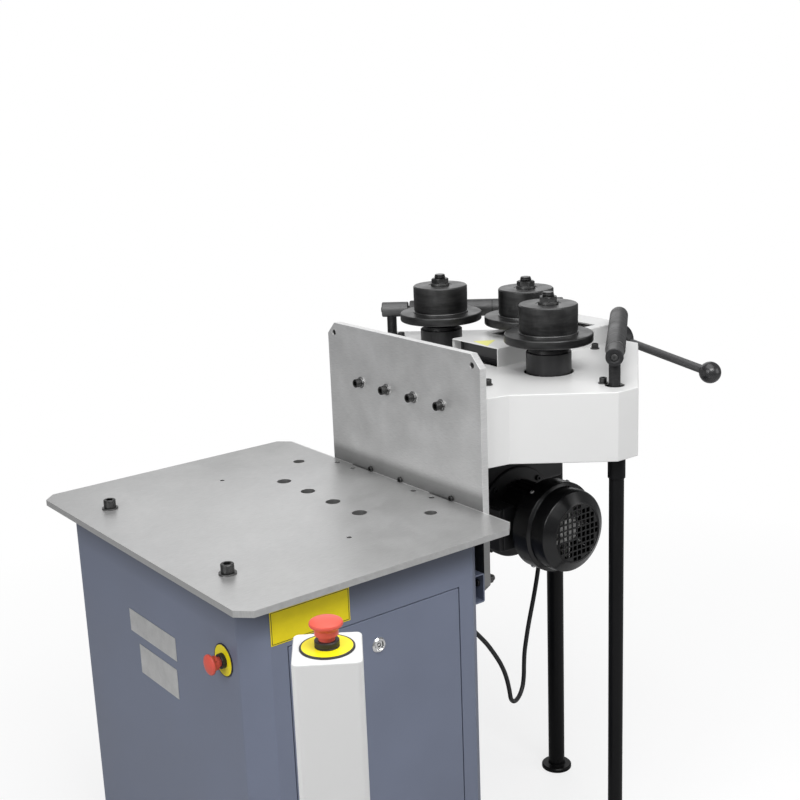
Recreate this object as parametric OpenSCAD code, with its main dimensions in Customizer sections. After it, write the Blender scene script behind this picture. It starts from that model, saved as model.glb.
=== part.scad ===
// Three-roll profile bending machine: a control cabinet with a steel work table,
// and behind it a bending head on an upright plate, with two driven rollers, a
// sliding press roller and two guide rollers, carried at its far side by legs.
// Millimetres, +Z up, floor at Z = 0. Sizes below are given from the corner of
// the work table: X runs from the operator's edge to the head, Y along the table.

/* [Work table] */
// Length of the table plate along Y
table_len = 800; // [700:10:1000]
// Width of the table plate along X
table_wid = 600; // [540:10:760]
// Thickness of the table plate
table_t = 12; // [8:1:20]
// Height of the table's top face above the floor
table_h = 820; // [700:10:980]
// Corner chamfer of the table and the upright plate
plate_chamfer = 25; // [5:1:40]
// Diameter of the four tooling holes
tool_hole_d = 30; // [16:1:36]
// Pitch of the tooling holes along Y
tool_pitch = 90; // [60:5:110]
// Diameter of the two locating holes
locate_hole_d = 25; // [12:1:30]
// Distance of the locating holes from the middle of the table
locate_off = 231; // [200:1:300]

/* [Cabinet] */
// Set-back of the cabinet's front face under the table
cab_set_x = 35; // [15:1:60]
// Set-back of the cabinet's sides under the table
cab_set_y = 42; // [15:1:80]
// Upright corner chamfer of the cabinet
cab_chamfer = 40; // [10:1:60]
// Width of the lift-off side panel
panel_w = 374; // [250:1:400]
// Depth of the panel's top edge under the table's top face
panel_drop = 105; // [70:1:160]
// Diameter of the panel lock
lock_d = 29; // [18:1:36]
// Height of the levelling feet
foot_h = 30; // [15:1:50]

/* [Upright plate] */
// Width of the upright plate
plate_wid = 500; // [420:10:600]
// Height of the upright plate above the table's top face
plate_up = 307; // [260:1:420]
// Depth of the upright plate below the table's top face
plate_down = 180; // [140:1:240]
// Thickness of the upright plate
plate_t = 16; // [8:1:20]
// Middle of the upright plate along Y
head_y = 352; // [300:1:420]
// Width of the rail that joins cabinet and upright plate
rail_w = 40; // [30:1:60]
// Height of the rail
rail_h = 60; // [40:1:80]
// Wall of the rail
rail_wall = 3; // [2:0.5:5]

/* [Bending head] */
// Offset of the head's middle from the upright plate's middle along Y
head_off = 15; // [0:1:30]
// Height of the head's underside above the table's top face
head_low = 78; // [60:1:120]
// Height of the head cover
cover_h = 139; // [110:1:200]
// Sheet thickness of the head cover
cover_t = 3; // [2:0.5:5]
// Half width of the cover at its widest
cover_half = 394; // [340:1:460]
// Half width of the cover at the upright plate
cover_half_in = 250; // [210:1:280]
// Half width of the cover at its far end
cover_half_out = 121; // [100:1:150]
// Length of the cover from the upright plate
cover_len = 574; // [540:1:680]
// Height of the raised slide housing
raised_h = 41; // [25:1:60]
// Width of the raised slide housing
raised_w = 148; // [130:1:180]

/* [Rollers] */
// Distance between the two driven rollers
roller_span = 346; // [310:1:400]
// Distance of the driven rollers from the upright plate
roller_x = 249.5; // [240:0.5:270]
// Press roller in front of the driven rollers' line, at rest
press_x = 99; // [90:1:150]
// Diameter of the rollers
roller_d = 122; // [90:1:140]
// Height of the rollers
roller_h = 60; // [50:1:90]
// Diameter of the flange discs
flange_d = 182; // [150:1:190]
// Thickness of the flange discs
flange_t = 18; // [8:1:22]
// Diameter of the spindle housings
housing_d = 93; // [70:1:96]
// Diameter of the spindles
spindle_d = 40; // [30:1:50]
// Travel of the press roller away from the driven rollers
press_travel = 106; // [60:1:120]

/* [Guide rollers] */
// Distance of the guide posts from the upright plate
guide_x = 256; // [242:1:266]
// Half the distance between the two guide posts
guide_half = 358; // [330:1:370]
// Angle of the near guide roller from Y
near_angle = 48; // [44:1:60]
// Angle of the far guide roller from Y
far_angle = 48; // [44:1:60]
// Diameter of the guide rollers
guide_d = 40; // [28:1:40]
// Length of a guide roller
guide_len = 360; // [200:1:380]
// Diameter of the guide posts
post_d = 23; // [16:1:28]
// Height of the guide axis above the cover
guide_up = 60; // [55:1:90]

/* [Drive] */
// Diameter of the motor's fan cowl
cowl_d = 176; // [150:1:200]
// Diameter of the motor's ribbed body
motor_d = 146; // [120:1:160]
// Depth of the motor's axis below the table's top face
motor_drop = 107; // [100:1:140]
// Distance of the fan cowl's face from the head's middle
motor_reach = 254; // [240:1:300]

/* [Lever] */
// Length of the lever from the screw's axis to the ball's middle
lever_len = 267; // [160:1:300]
// Diameter of the lever's ball
ball_d = 48; // [30:1:60]
// Diameter of the lever's rod
rod_d = 19; // [10:1:22]
// Diameter of the pressing screw
screw_d = 24; // [16:1:30]

/* [Legs] */
// Outer diameter of the leg tubes
leg_d = 30; // [25:1:40]
// Outer diameter of the leg sockets and the middle leg
sleeve_d = 35; // [33:1:48]
// Diameter of the leg's foot discs
leg_foot_d = 70; // [50:1:100]

/* [Control post] */
// Side of the square control post
post_w = 75; // [60:1:100]
// Height of the control post
post_h = 1064; // [900:1:1150]
// Distance of the control post from the table's corner along X
post_out_x = 246; // [180:1:320]
// Distance of the control post from the table's corner along Y
post_out_y = 625; // [400:5:800]
// Diameter of the stop button's yellow ring
ring_d = 60; // [50:1:90]

/* [Cable] */
// Diameter of the motor cable
cable_d = 9.5; // [8:0.5:13]

/* [Hidden] */
$fn = 64;
// Gap between pieces that seat on each other but turn, slide or lift off
seat = 0.3;
// Radial clearance of a running fit
fit = 0.05;
// Overrun of every cut past the face it opens
cut = 1;

// Colours
steel = [0.74, 0.74, 0.73];
paint_blue = [0.40, 0.43, 0.50];
paint_white = [0.92, 0.92, 0.91];
black = [0.09, 0.09, 0.10];
dark = [0.16, 0.16, 0.17];
chrome = [0.80, 0.81, 0.83];
yellow = [0.93, 0.82, 0.10];
red = [0.86, 0.16, 0.13];

// Cabinet
plinth_h = 40;
plinth_in = 15;
panel_gap = 2;
recess_deep = 14;
foot_in = 70;
cab_x0 = cab_set_x;
cab_x1 = table_wid - rail_w;
cab_y0 = cab_set_y;
cab_y1 = table_len - cab_set_y;
cab_top = table_h - table_t;
panel_x = (cab_x0 + cab_x1) / 2;
panel_low = foot_h + 70;
panel_top = table_h - panel_drop;
lock_z = panel_top - 55;
cab_stop_y = 131;
cab_stop_z = table_h - 136;

// Table
tool_x = table_wid - 175;
locate_x = table_wid - 75;
bolt_x = 75;
bolt_off = 232;
stop_x = table_wid - 268;
fence_x = table_wid - 17;
fence_off = [-162, -103, 108, 166];
notch_deep = 4;
notch_l = 66;
notch_off = [-152, 115];

// Upright plate and head datum
plate_x = table_wid + plate_t;
plate_top = table_h + plate_up;
plate_low = table_h - plate_down;
corner_in = 23;
corner_down = 22;
screw_z = table_h + 191;
screw_pitch = 89;
low_screw_z = table_h + 8.5;
low_screw_y = [head_y - 156, head_y + 9, head_y + 112];
rail_top = plate_low + rail_h - 5;
rail_bolt_z = plate_low + 31;
rail_bolt_y = [head_y - 234, head_y - 78, head_y + 78, head_y + 234];

// Head
head_mid = head_y + head_off;
head_z = table_h + head_low;
cover_top = head_z + cover_h;
base_t = 12;
base_z = head_z + 2;
frame_t = 12;
cover_end = plate_x + cover_len;
cover_wide_0 = plate_x + 220;
cover_wide_1 = plate_x + 276;
cover_turn = plate_x + 59;
raised_x0 = plate_x + 198;
raised_cut = 10;
window_lip = 8;
readout_in = 22;
cover_screw_at = [
  [plate_x + 85, head_mid - 171], [plate_x + 85, head_mid + 171],
  [plate_x + 251, head_mid - cover_half + 70], [plate_x + 251, head_mid + cover_half - 70],
  [plate_x + 465, head_mid - raised_w / 2 - 20], [plate_x + 465, head_mid + raised_w / 2 + 20]
];

// Rollers
drive_x = plate_x + roller_x;
near_y = head_mid - roller_span / 2;
far_y = head_mid + roller_span / 2;
press_axis_x = drive_x + press_x;
housing_top = cover_top + 50;
flange_low = cover_top + 63;
roller_low = flange_low + flange_t;
roller_top = roller_low + roller_h;
cover_bore = housing_d + 9;
slot_w = housing_d + 9;
slot_x0 = press_axis_x - housing_d / 2 - 9;
slot_x1 = press_axis_x + press_travel + housing_d / 2 + 9;
bearing_d = spindle_d + 2 * fit;

// Carriage
carriage_l = 110;
carriage_w = 120;
carriage_low = base_z + base_t + seat;
carriage_top = cover_top - 14;
end_wall = 20;

// Lever and screw
lever_z = table_h + 197;
hub_x = cover_end + 73;
hub_d = 70;
hub_t = 30;
lever_tilt = 8;
nut_d = 46;

// Guides
post_x = plate_x + guide_x;
guide_z = cover_top + guide_up;
block_in = 22;
block_out = 40;
block_d = guide_d - 5;
guide_mid = head_mid + 8;
guide_gap = 3.5;
pin_d = 16;

// Drive
motor_x = drive_x - 14;
motor_z = table_h - motor_drop;
cowl_len = 93;
cowl_step = 8;
box_seat = 66;
case_top = head_z - 34;
case_low = motor_z + 47;
case_l = 266;
case_w = 150;
case_y = head_y - 62;

// Legs
rear_leg_x = plate_x + 415;
rear_leg_d = sleeve_d + 3;
side_leg_x = plate_x + 254;
leg_z = base_z;

// Footprint of the whole machine, used to put the origin under its middle
post_turn = 35;
base_w = 170;
base_r = 20;
anchor_off = 65;
base_reach = (base_w / 2 - base_r) * (cos(post_turn) + sin(post_turn)) + base_r;
x_low = -post_out_x - base_reach;
x_high = hub_x + max(ball_d, hub_t) / 2;
y_low = -post_out_y - base_reach;
y_high = max(table_len, head_mid + cover_half);
shift = [-(x_low + x_high) / 2, -(y_low + y_high) / 2, 0];

// Motor cable, from the cabinet's gland down and up again to the motor's boss
gland_y = 186;
gland_z = table_h - 258;
gland_l = 30;
boss_x = motor_x + 14;
boss_y = 228;
boss_z = motor_z - motor_d / 2;
boss_gland_l = 26;
cable_from = [cab_x1 + gland_l, gland_y, gland_z];
cable_to = [boss_x, boss_y, boss_z - boss_gland_l];
// Each point's share of the way from the first end to the other, then its own offset
cable_shape = [
  [0, 0, 0, 0], [0, 22, 0, -7], [0, 44, 0, -24], [0, 65, 0, -47], [0, 85, 0, -71],
  [0, 103, 0, -97], [0, 119, 0, -123], [0, 132, 1, -149], [0, 143, 4, -176], [0, 151, 7, -202],
  [0, 158, 10, -225], [0, 175, 18, -239], [0.5, 60, 7, -265], [1, -59, -6, -277],
  [1, -52, -3, -254], [1, -49, -1, -229], [1, -46, 0, -202], [1, -41, 0, -175],
  [1, -35, 0, -148], [1, -28, 0, -121], [1, -20, 0, -92], [1, -12, 0, -61], [1, -5, 0, -30],
  [1, 0, 0, 0]
];
cable_route = [
  for (p = cable_shape) cable_from + p[0] * (cable_to - cable_from) + [p[1], p[2], p[3]]
];

// ---------------------------------------------------------------- helpers

// Puts a machine-frame shape into the part's frame
module place() {
  translate(shift) children();
}

// Rectangle from the origin with chamfered corners
module chamfer_plate(w, h, c) {
  polygon([[c, 0], [w - c, 0], [w, c], [w, h - c], [w - c, h], [c, h], [0, h - c], [0, c]]);
}

// Upright cylinder with small chamfers at both ends
module disc(d, h, c = 1, bore = 0) {
  rotate_extrude()
    polygon([
      [bore / 2, 0], [d / 2 - c, 0], [d / 2, c], [d / 2, h - c], [d / 2 - c, h], [bore / 2, h]
    ]);
}

// Shape turned so that its +Z runs along +X
module along_x() {
  rotate([0, 90, 0]) children();
}

// Shape turned so that its +Z runs along -Y
module along_front() {
  rotate([90, 0, 0]) children();
}

// Hexagon across flats
module hex(af, h) {
  cylinder(d = af / cos(30), h = h, $fn = 6);
}

// Socket head cap screw: head up from Z = 0 on a washer, shank down
module cap_screw(d, shank, washer = 2) {
  head = 1.5 * d;
  difference() {
    union() {
      disc(2 * d, washer, 0.4);
      translate([0, 0, washer]) disc(head, d, 0.8);
      translate([0, 0, -shank]) cylinder(d = d, h = shank + 1, $fn = 32);
    }
    translate([0, 0, washer + 0.45 * d]) hex(0.85 * d, d);
  }
}

// Outline of the head cover, shrunk by t on every side
module cover_outline(t = 0) {
  inner = cover_half_in - t;
  wide = cover_half - t;
  out = cover_half_out - t * 0.6;
  polygon([
    [plate_x + t, head_mid - inner], [cover_turn + t * 0.4, head_mid - inner - 10],
    [cover_wide_0 + t * 0.4, head_mid - wide], [cover_wide_1 - t * 0.4, head_mid - wide],
    [cover_end - t, head_mid - out], [cover_end - t, head_mid + out],
    [cover_wide_1 - t * 0.4, head_mid + wide], [cover_wide_0 + t * 0.4, head_mid + wide],
    [cover_turn + t * 0.4, head_mid + inner + 10], [plate_x + t, head_mid + inner]
  ]);
}

// Outline of the raised slide housing, shrunk by t on every side
module raised_outline(t = 0) {
  half = raised_w / 2 - t;
  polygon([
    [raised_x0 + t, head_mid - half], [cover_end - raised_cut - t * 0.4, head_mid - half],
    [cover_end - t, head_mid - half + raised_cut - t * 0.6],
    [cover_end - t, head_mid + half - raised_cut + t * 0.6],
    [cover_end - raised_cut - t * 0.4, head_mid + half], [raised_x0 + t, head_mid + half]
  ]);
}

// ---------------------------------------------------------------- cabinet

module cabinet_outline(c) {
  translate([cab_x0, cab_y0])
    chamfer_plate(cab_x1 - cab_x0, cab_y1 - cab_y0, c);
}

module cabinet() {
  color(paint_blue)
  difference() {
    union() {
      translate([0, 0, foot_h + plinth_h])
        linear_extrude(cab_top - foot_h - plinth_h) cabinet_outline(cab_chamfer);
      // Recessed plinth
      translate([cab_x0 + plinth_in, cab_y0 + plinth_in, foot_h])
        linear_extrude(plinth_h + 1)
          chamfer_plate(
            cab_x1 - cab_x0 - 2 * plinth_in, cab_y1 - cab_y0 - 2 * plinth_in, cab_chamfer - 10);
    }
    // Recess of the lift-off panel
    translate([panel_x - panel_w / 2 - panel_gap, cab_y0 - cut, panel_low - panel_gap])
      cube([panel_w + 2 * panel_gap, cut + recess_deep, panel_top - panel_low + 2 * panel_gap]);
    // Holes under the table's tooling and locating holes
    for (i = [-1.5, -0.5, 0.5, 1.5])
      translate([tool_x, table_len / 2 + i * tool_pitch, cab_top - 20])
        cylinder(d = tool_hole_d - 6, h = 20 + cut);
    for (s = [-1, 1])
      translate([bolt_x, table_len / 2 + s * bolt_off, cab_top - 30])
        cylinder(d = 16.4, h = 30 + cut, $fn = 32);
  }
}

module access_panel() {
  color(paint_blue)
  difference() {
    translate([panel_x - panel_w / 2, cab_y0, panel_low])
      translate([0, recess_deep - seat, 0]) along_front()
        linear_extrude(recess_deep - seat)
          offset(r = 3) offset(delta = -3) square([panel_w, panel_top - panel_low]);
    translate([panel_x, cab_y0 + 20, lock_z])
      along_front() cylinder(d = lock_d - 5, h = 30, $fn = 48);
  }
}

module panel_lock() {
  color(chrome)
  translate([panel_x, cab_y0, lock_z]) along_front()
  difference() {
    union() {
      disc(lock_d, 3.5, 1.2);
      translate([0, 0, -12]) cylinder(d = lock_d - 5.6, h = 13, $fn = 48);
    }
    translate([0, 0, 1.5]) cylinder(d = 15, h = 5, $fn = 48);
    translate([0, 0, -4]) hex(8, 10);
  }
}

module cabinet_feet() {
  color(black)
  for (x = [cab_x0 + foot_in, cab_x1 - foot_in], y = [cab_y0 + foot_in, cab_y1 - foot_in])
    translate([x, y, 0]) {
      disc(60, 14, 3);
      translate([0, 0, 13]) cylinder(d = 16, h = foot_h - 13, $fn = 32);
      translate([0, 0, 14]) hex(24, 8);
    }
}

// ---------------------------------------------------------------- table

module table_plate() {
  color(steel)
  difference() {
    translate([0, 0, cab_top])
      linear_extrude(table_t)
        difference() {
          chamfer_plate(table_wid, table_len, plate_chamfer);
          // Notches that clear the upright plate's lower bolt heads
          for (y = notch_off)
            translate([table_wid - notch_deep, head_y + y]) square([notch_deep + cut, notch_l]);
        }
    translate([0, 0, cab_top - cut]) {
      // Four tooling holes
      for (i = [-1.5, -0.5, 0.5, 1.5])
        translate([tool_x, table_len / 2 + i * tool_pitch, 0])
          cylinder(d = tool_hole_d, h = table_t + 2 * cut);
      // Two locating holes
      for (s = [-1, 1])
        translate([locate_x, table_len / 2 + s * locate_off, 0])
          cylinder(d = locate_hole_d, h = table_t + 2 * cut);
      // Two stop holes in the middle
      for (s = [-1, 1])
        translate([stop_x, table_len / 2 + s * bolt_off, 0])
          cylinder(d = 10, h = table_t + 2 * cut, $fn = 32);
      // Fence holes along the upright plate
      for (y = fence_off)
        translate([fence_x, table_len / 2 + y, 0])
          cylinder(d = 12, h = table_t + 2 * cut, $fn = 32);
      // Clearance of the two clamping screws
      for (s = [-1, 1])
        translate([bolt_x, table_len / 2 + s * bolt_off, 0])
          cylinder(d = 17, h = table_t + 2 * cut, $fn = 32);
    }
  }
}

module table_bolts() {
  color(black)
  for (s = [-1, 1])
    translate([bolt_x, table_len / 2 + s * bolt_off, table_h])
      cap_screw(16, table_t + 25, 3);
}

// ---------------------------------------------------------------- upright

module upright_plate() {
  color(steel)
  difference() {
    translate([table_wid, head_y - plate_wid / 2, plate_low])
      rotate([90, 0, 90])
        linear_extrude(plate_t) chamfer_plate(plate_wid, plate_top - plate_low, plate_chamfer);
    // Two corner holes
    for (s = [-1, 1])
      translate([table_wid - cut, head_y + s * (plate_wid / 2 - corner_in), plate_top - corner_down])
        along_x() cylinder(d = 12, h = plate_t + 2 * cut, $fn = 32);
    // Head screws
    for (i = [-1.5, -0.5, 0.5, 1.5])
      translate([table_wid - cut, head_y + i * screw_pitch, screw_z])
        along_x() cylinder(d = 12.6, h = plate_t + 2 * cut, $fn = 32);
    // Rail bolts
    for (y = rail_bolt_y)
      translate([table_wid - cut, y, rail_bolt_z])
        along_x() cylinder(d = 14.6, h = plate_t + 2 * cut, $fn = 32);
  }
}

module upright_rail() {
  color(paint_blue)
  translate([cab_x1, head_y - plate_wid / 2, rail_top - rail_h])
  difference() {
    cube([rail_w, plate_wid, rail_h]);
    translate([rail_wall, -cut, rail_wall])
      cube([rail_w - 2 * rail_wall, plate_wid + 2 * cut, rail_h - 2 * rail_wall]);
    for (y = rail_bolt_y)
      translate([rail_w / 2, y - head_y + plate_wid / 2, rail_bolt_z - rail_top + rail_h])
        along_x() cylinder(d = 14.6, h = rail_w, $fn = 32);
  }
}

module upright_screws() {
  color(black)
  for (i = [-1.5, -0.5, 0.5, 1.5])
    translate([table_wid, head_y + i * screw_pitch, screw_z])
      rotate([0, -90, 0]) {
        disc(24, 2, 0.4);
        translate([0, 0, 2]) disc(20, 3, 0.4);
        difference() {
          translate([0, 0, 5]) disc(18, 12, 0.8);
          translate([0, 0, 11]) hex(10, 12);
        }
        translate([0, 0, -plate_t - 10]) cylinder(d = 12, h = plate_t + 16, $fn = 32);
      }
  for (y = low_screw_y)
    translate([table_wid, y, low_screw_z]) rotate([0, -90, 0])
      difference() {
        disc(13, 5, 1.2);
        translate([0, 0, 2.5]) hex(6, 5);
      }
}

module rail_bolts() {
  color(black)
  for (y = rail_bolt_y)
    translate([plate_x, y, rail_bolt_z]) along_x() {
      disc(24, 2, 0.4);
      translate([0, 0, 1.9]) hex(19, 11);
      translate([0, 0, -plate_t - 8]) disc(14, plate_t + 30, 4);
    }
}

// ---------------------------------------------------------------- stop buttons

// Stop switch base on a face at Z = 0: yellow ring with a black rim and collar
module stop_base() {
  color(yellow) disc(ring_d, 2, 0.4, 18.1);
  color(black) translate([0, 0, 1.9]) disc(27, 7.8, 0.8, 18.1);
}

// Red mushroom button over the collar
module stop_button() {
  color(red)
  rotate_extrude()
    polygon(concat(
      [[0, 4.5], [9, 4.5], [9, 15.5], [13, 15.5], [13, 22], [16.5, 25], [18.4, 27], [18.4, 29]],
      [for (a = [15:15:90]) [18.4 * cos(a), 29 + 5 * sin(a)]]
    ));
}

module on_cabinet_front() {
  translate([cab_x0, cab_stop_y, cab_stop_z]) rotate([0, -90, 0]) children();
}

module on_post() {
  translate([-post_out_x, -post_out_y, post_h]) rotate([0, 0, -post_turn]) children();
}

module control_post() {
  color(paint_white)
  translate([-post_out_x, -post_out_y, 0]) rotate([0, 0, -post_turn])
  difference() {
    union() {
      // Square post with rounded edges
      linear_extrude(post_h - 3)
        offset(r = 7) offset(delta = -7) square(post_w, center = true);
      translate([0, 0, post_h - 3.1])
        linear_extrude(3.1)
          offset(r = 6) offset(delta = -8.5) square(post_w, center = true);
      // Foot plate
      linear_extrude(8)
        offset(r = base_r) offset(delta = -base_r) square(base_w, center = true);
    }
    translate([0, 0, post_h - 30]) cylinder(d = 16, h = 30 + cut, $fn = 32);
    for (sx = [-1, 1], sy = [-1, 1])
      translate([sx * anchor_off, sy * anchor_off, -cut]) cylinder(d = 9, h = 8 + 2 * cut, $fn = 32);
  }
}

// ---------------------------------------------------------------- bending head

// Inner frame of the head: floor plate, back plate on the upright and end block
module head_base() {
  color(dark)
  difference() {
    union() {
      // Floor plate inside the cover
      translate([0, 0, base_z])
        linear_extrude(base_t) cover_outline(cover_t + 0.5);
      // Back plate behind the upright plate
      translate([plate_x + 0.5, head_mid - cover_half_in + 16, base_z])
        cube([frame_t, 2 * cover_half_in - 32, screw_z + 16 - base_z]);
      // End block with the screw's nut bore
      translate([cover_end - cover_t - 0.5 - end_wall, head_mid - 60, base_z])
        cube([end_wall, 120, cover_top - cover_t - 1 - base_z]);
      // Bearing bosses under the driven rollers
      for (y = [near_y, far_y])
        translate([drive_x, y, head_z - 32]) {
          disc(70, 16, 2);
          translate([0, 0, 15]) cylinder(d = 58, h = 20);
        }
      // Guide rails of the carriage
      for (s = [-1, 1])
        translate([slot_x0 - 4, head_mid + s * (carriage_w / 2 + 10) - 9.7, base_z])
          cube([slot_x1 - slot_x0 + 8, 19.4, base_t + 14]);
    }
    // Blind seats of the driven spindles
    for (y = [near_y, far_y])
      translate([drive_x, y, head_z - 26]) cylinder(d = bearing_d, h = 60);
    translate([cover_end - 60, head_mid, lever_z])
      along_x() cylinder(d = screw_d + 2 * fit, h = 100);
    // Tapped holes of the head screws
    for (i = [-1.5, -0.5, 0.5, 1.5])
      translate([plate_x - cut, head_y + i * screw_pitch, screw_z])
        along_x() cylinder(d = 12.1, h = frame_t + 2 * cut, $fn = 32);
    // Guide posts pass through the floor plate
    for (s = [-1, 1])
      translate([post_x, guide_mid + s * guide_half, base_z - cut])
        cylinder(d = post_d + 0.2, h = base_t + 2 * cut, $fn = 48);
  }
}

// Sheet-metal cover with the raised slide housing
module head_cover() {
  color(paint_white)
  difference() {
    union() {
      translate([0, 0, head_z]) linear_extrude(cover_h) cover_outline();
      translate([0, 0, cover_top - 1]) linear_extrude(raised_h + 1) raised_outline();
    }
    translate([0, 0, head_z - cut])
      linear_extrude(cover_h - cover_t + cut) cover_outline(cover_t);
    translate([0, 0, cover_top - cover_t - cut])
      linear_extrude(raised_h + cut) raised_outline(cover_t);
    // Holes of the driven spindle housings
    for (y = [near_y, far_y])
      translate([drive_x, y, cover_top - 10]) cylinder(d = cover_bore, h = 20);
    // Slot of the press roller
    translate([slot_x0, head_mid - slot_w / 2, cover_top - 10])
      cube([slot_x1 - slot_x0, slot_w, raised_h + 20]);
    for (p = cover_screw_at)
      translate([p[0], p[1], cover_top - 10]) cylinder(d = 10.6, h = 20, $fn = 32);
    // Holes of the guide posts
    for (s = [-1, 1])
      translate([post_x, guide_mid + s * guide_half, cover_top - 10])
        cylinder(d = post_d + 16, h = 20, $fn = 48);
    // Open back behind the upright plate, and the screw's way through the end
    translate([plate_x - cut, head_mid - cover_half_in + 12, head_z - cut])
      cube([cover_t + 2 * cut, 2 * cover_half_in - 24, cover_h - 6]);
    translate([cover_end - 10, head_mid, lever_z])
      along_x() cylinder(d = nut_d + 1, h = 20);
    // Window of the readout
    translate([raised_x0 - cut, head_mid - raised_w / 2 + cover_t, cover_top + window_lip])
      cube([cover_t + 2 * cut, raised_w - 2 * cover_t, raised_h - window_lip - cover_t]);
  }
}

module readout() {
  color(black)
  translate([raised_x0 + readout_in, head_mid - raised_w / 2 + cover_t + seat, cover_top - cover_t])
  difference() {
    cube([24, raised_w - 2 * (cover_t + seat), raised_h - seat]);
    translate([-cut, 8, 12]) cube([cut + 3, raised_w - 2 * (cover_t + seat) - 16, raised_h - 18]);
  }
}

module cover_screws() {
  color(black)
  for (p = cover_screw_at)
    translate([p[0], p[1], cover_top]) cap_screw(10, 14, 2);
}

// Fixed housings of the two driven spindles, standing on the floor plate
module shaft_housings() {
  color(black)
  for (y = [near_y, far_y])
    translate([drive_x, y, base_z + base_t])
      disc(housing_d, housing_top - base_z - base_t, 2, bearing_d);
}

// Spindle with its neck, threaded end, washer and nut
module spindle(low) {
  color(dark) {
    rotate_extrude()
      polygon([
        [0, low], [spindle_d / 2, low], [spindle_d / 2, housing_top + 2],
        [32, housing_top + 2], [32, flange_low], [19.95, flange_low], [19.95, roller_top],
        [12.5, roller_top], [12.5, roller_top + 22], [11, roller_top + 24], [0, roller_top + 24]
      ]);
    translate([0, 0, roller_top + seat]) disc(42, 5, 0.6, 24);
    translate([0, 0, roller_top + 5]) hex(34, 10);
  }
}

// Flange disc under a roller
module flange() {
  color(dark)
  translate([0, 0, flange_low])
    rotate_extrude()
      polygon([
        [19.95, 0], [flange_d / 2 - 1.5, 0], [flange_d / 2, 1.5], [flange_d / 2, flange_t - 1.5],
        [flange_d / 2 - 1.5, flange_t], [19.95, flange_t]
      ]);
}

// Turned bending roller with a groove near its foot
module roller() {
  r = roller_d / 2;
  color(dark)
  translate([0, 0, roller_low])
    rotate_extrude()
      polygon([
        [19.95, 0], [r, 0], [r, 2], [r - 1.5, 3], [r - 1.5, 5], [r, 6],
        [r, roller_h - 1.5], [r - 1.5, roller_h], [19.95, roller_h]
      ]);
}

// ---------------------------------------------------------------- press slide

module press_carriage() {
  color(dark)
  difference() {
    union() {
      translate([press_axis_x - carriage_l / 2, head_mid - carriage_w / 2, carriage_low])
        cube([carriage_l, carriage_w, carriage_top - carriage_low]);
      translate([press_axis_x, head_mid, carriage_top - 1])
        disc(housing_d, housing_top - carriage_top + 1, 2);
    }
    translate([press_axis_x, head_mid, carriage_low + 14]) cylinder(d = bearing_d, h = 400);
    translate([press_axis_x + carriage_l / 2 - 20, head_mid, lever_z])
      along_x() cylinder(d = screw_d + 2 * fit, h = 30);
  }
}

// Pressing screw from the carriage through the end block to the lever's hub
module press_screw() {
  start = press_axis_x + carriage_l / 2 - 18;
  color(chrome)
  translate([start, head_mid, lever_z])
    along_x() disc(screw_d, hub_x - hub_t / 2 - start, 1);
}

module press_lever() {
  translate([hub_x, head_mid, lever_z]) {
    color(black)
    translate([-hub_t / 2, 0, 0]) along_x()
      rotate_extrude()
        polygon([
          [0, 0], [hub_d / 2 - 4, 0], [hub_d / 2, 4], [hub_d / 2, hub_t - 8],
          [hub_d / 2 - 8, hub_t], [0, hub_t]
        ]);
    color(dark)
    rotate([90 + lever_tilt, 0, 0]) {
      cylinder(d = rod_d, h = lever_len - ball_d / 2 + 3, $fn = 32);
      translate([0, 0, lever_len]) sphere(d = ball_d);
    }
  }
}

// ---------------------------------------------------------------- guides

// Guide post with its cross block and roller pin
module guide_post() {
  color(black)
  difference() {
    union() {
      translate([0, 0, base_z]) cylinder(d = post_d, h = guide_z - base_z, $fn = 48);
      translate([0, block_in * -1, guide_z]) rotate([-90, 0, 0])
        disc(block_d, block_in + block_out, 2);
      translate([0, block_out - 1, guide_z]) rotate([-90, 0, 0])
        cylinder(d = pin_d, h = guide_len + guide_gap + 4, $fn = 32);
      translate([0, block_out + guide_gap + guide_len + seat, guide_z]) rotate([-90, 0, 0])
        disc(guide_d - 10, 4, 1);
    }
    translate([0, -block_in - cut, guide_z]) rotate([-90, 0, 0]) hex(12, 8);
  }
}

module guide_roller() {
  color(dark)
  translate([0, block_out + guide_gap, guide_z]) rotate([-90, 0, 0])
    disc(guide_d, guide_len, 2, pin_d + 2 * fit);
}

module at_near_guide() {
  translate([post_x, guide_mid - guide_half, 0]) rotate([0, 0, -near_angle]) children();
}

module at_far_guide() {
  translate([post_x, guide_mid + guide_half, 0]) rotate([0, 0, far_angle - 180]) children();
}

// ---------------------------------------------------------------- drive

// Worm gearbox under the middle of the head
module gearbox() {
  color(black) {
    // Neck and case under the head's floor plate
    translate([drive_x, head_mid, case_top - 1]) disc(200, base_z - case_top + 1, 2);
    translate([drive_x - case_l / 2, case_y, case_low])
      cube([case_l, case_w, case_top - case_low]);
    // Worm stage with the motor's flange and the far bearing cap
    translate([motor_x - 75, head_y - 55, motor_z - 80]) cube([150, 110, case_low - motor_z + 81]);
    translate([motor_x, head_y - 54, motor_z]) along_front() disc(200, 16, 2);
    translate([motor_x, head_y + 54, motor_z]) rotate([-90, 0, 0]) disc(110, 12, 4);
  }
}

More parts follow.
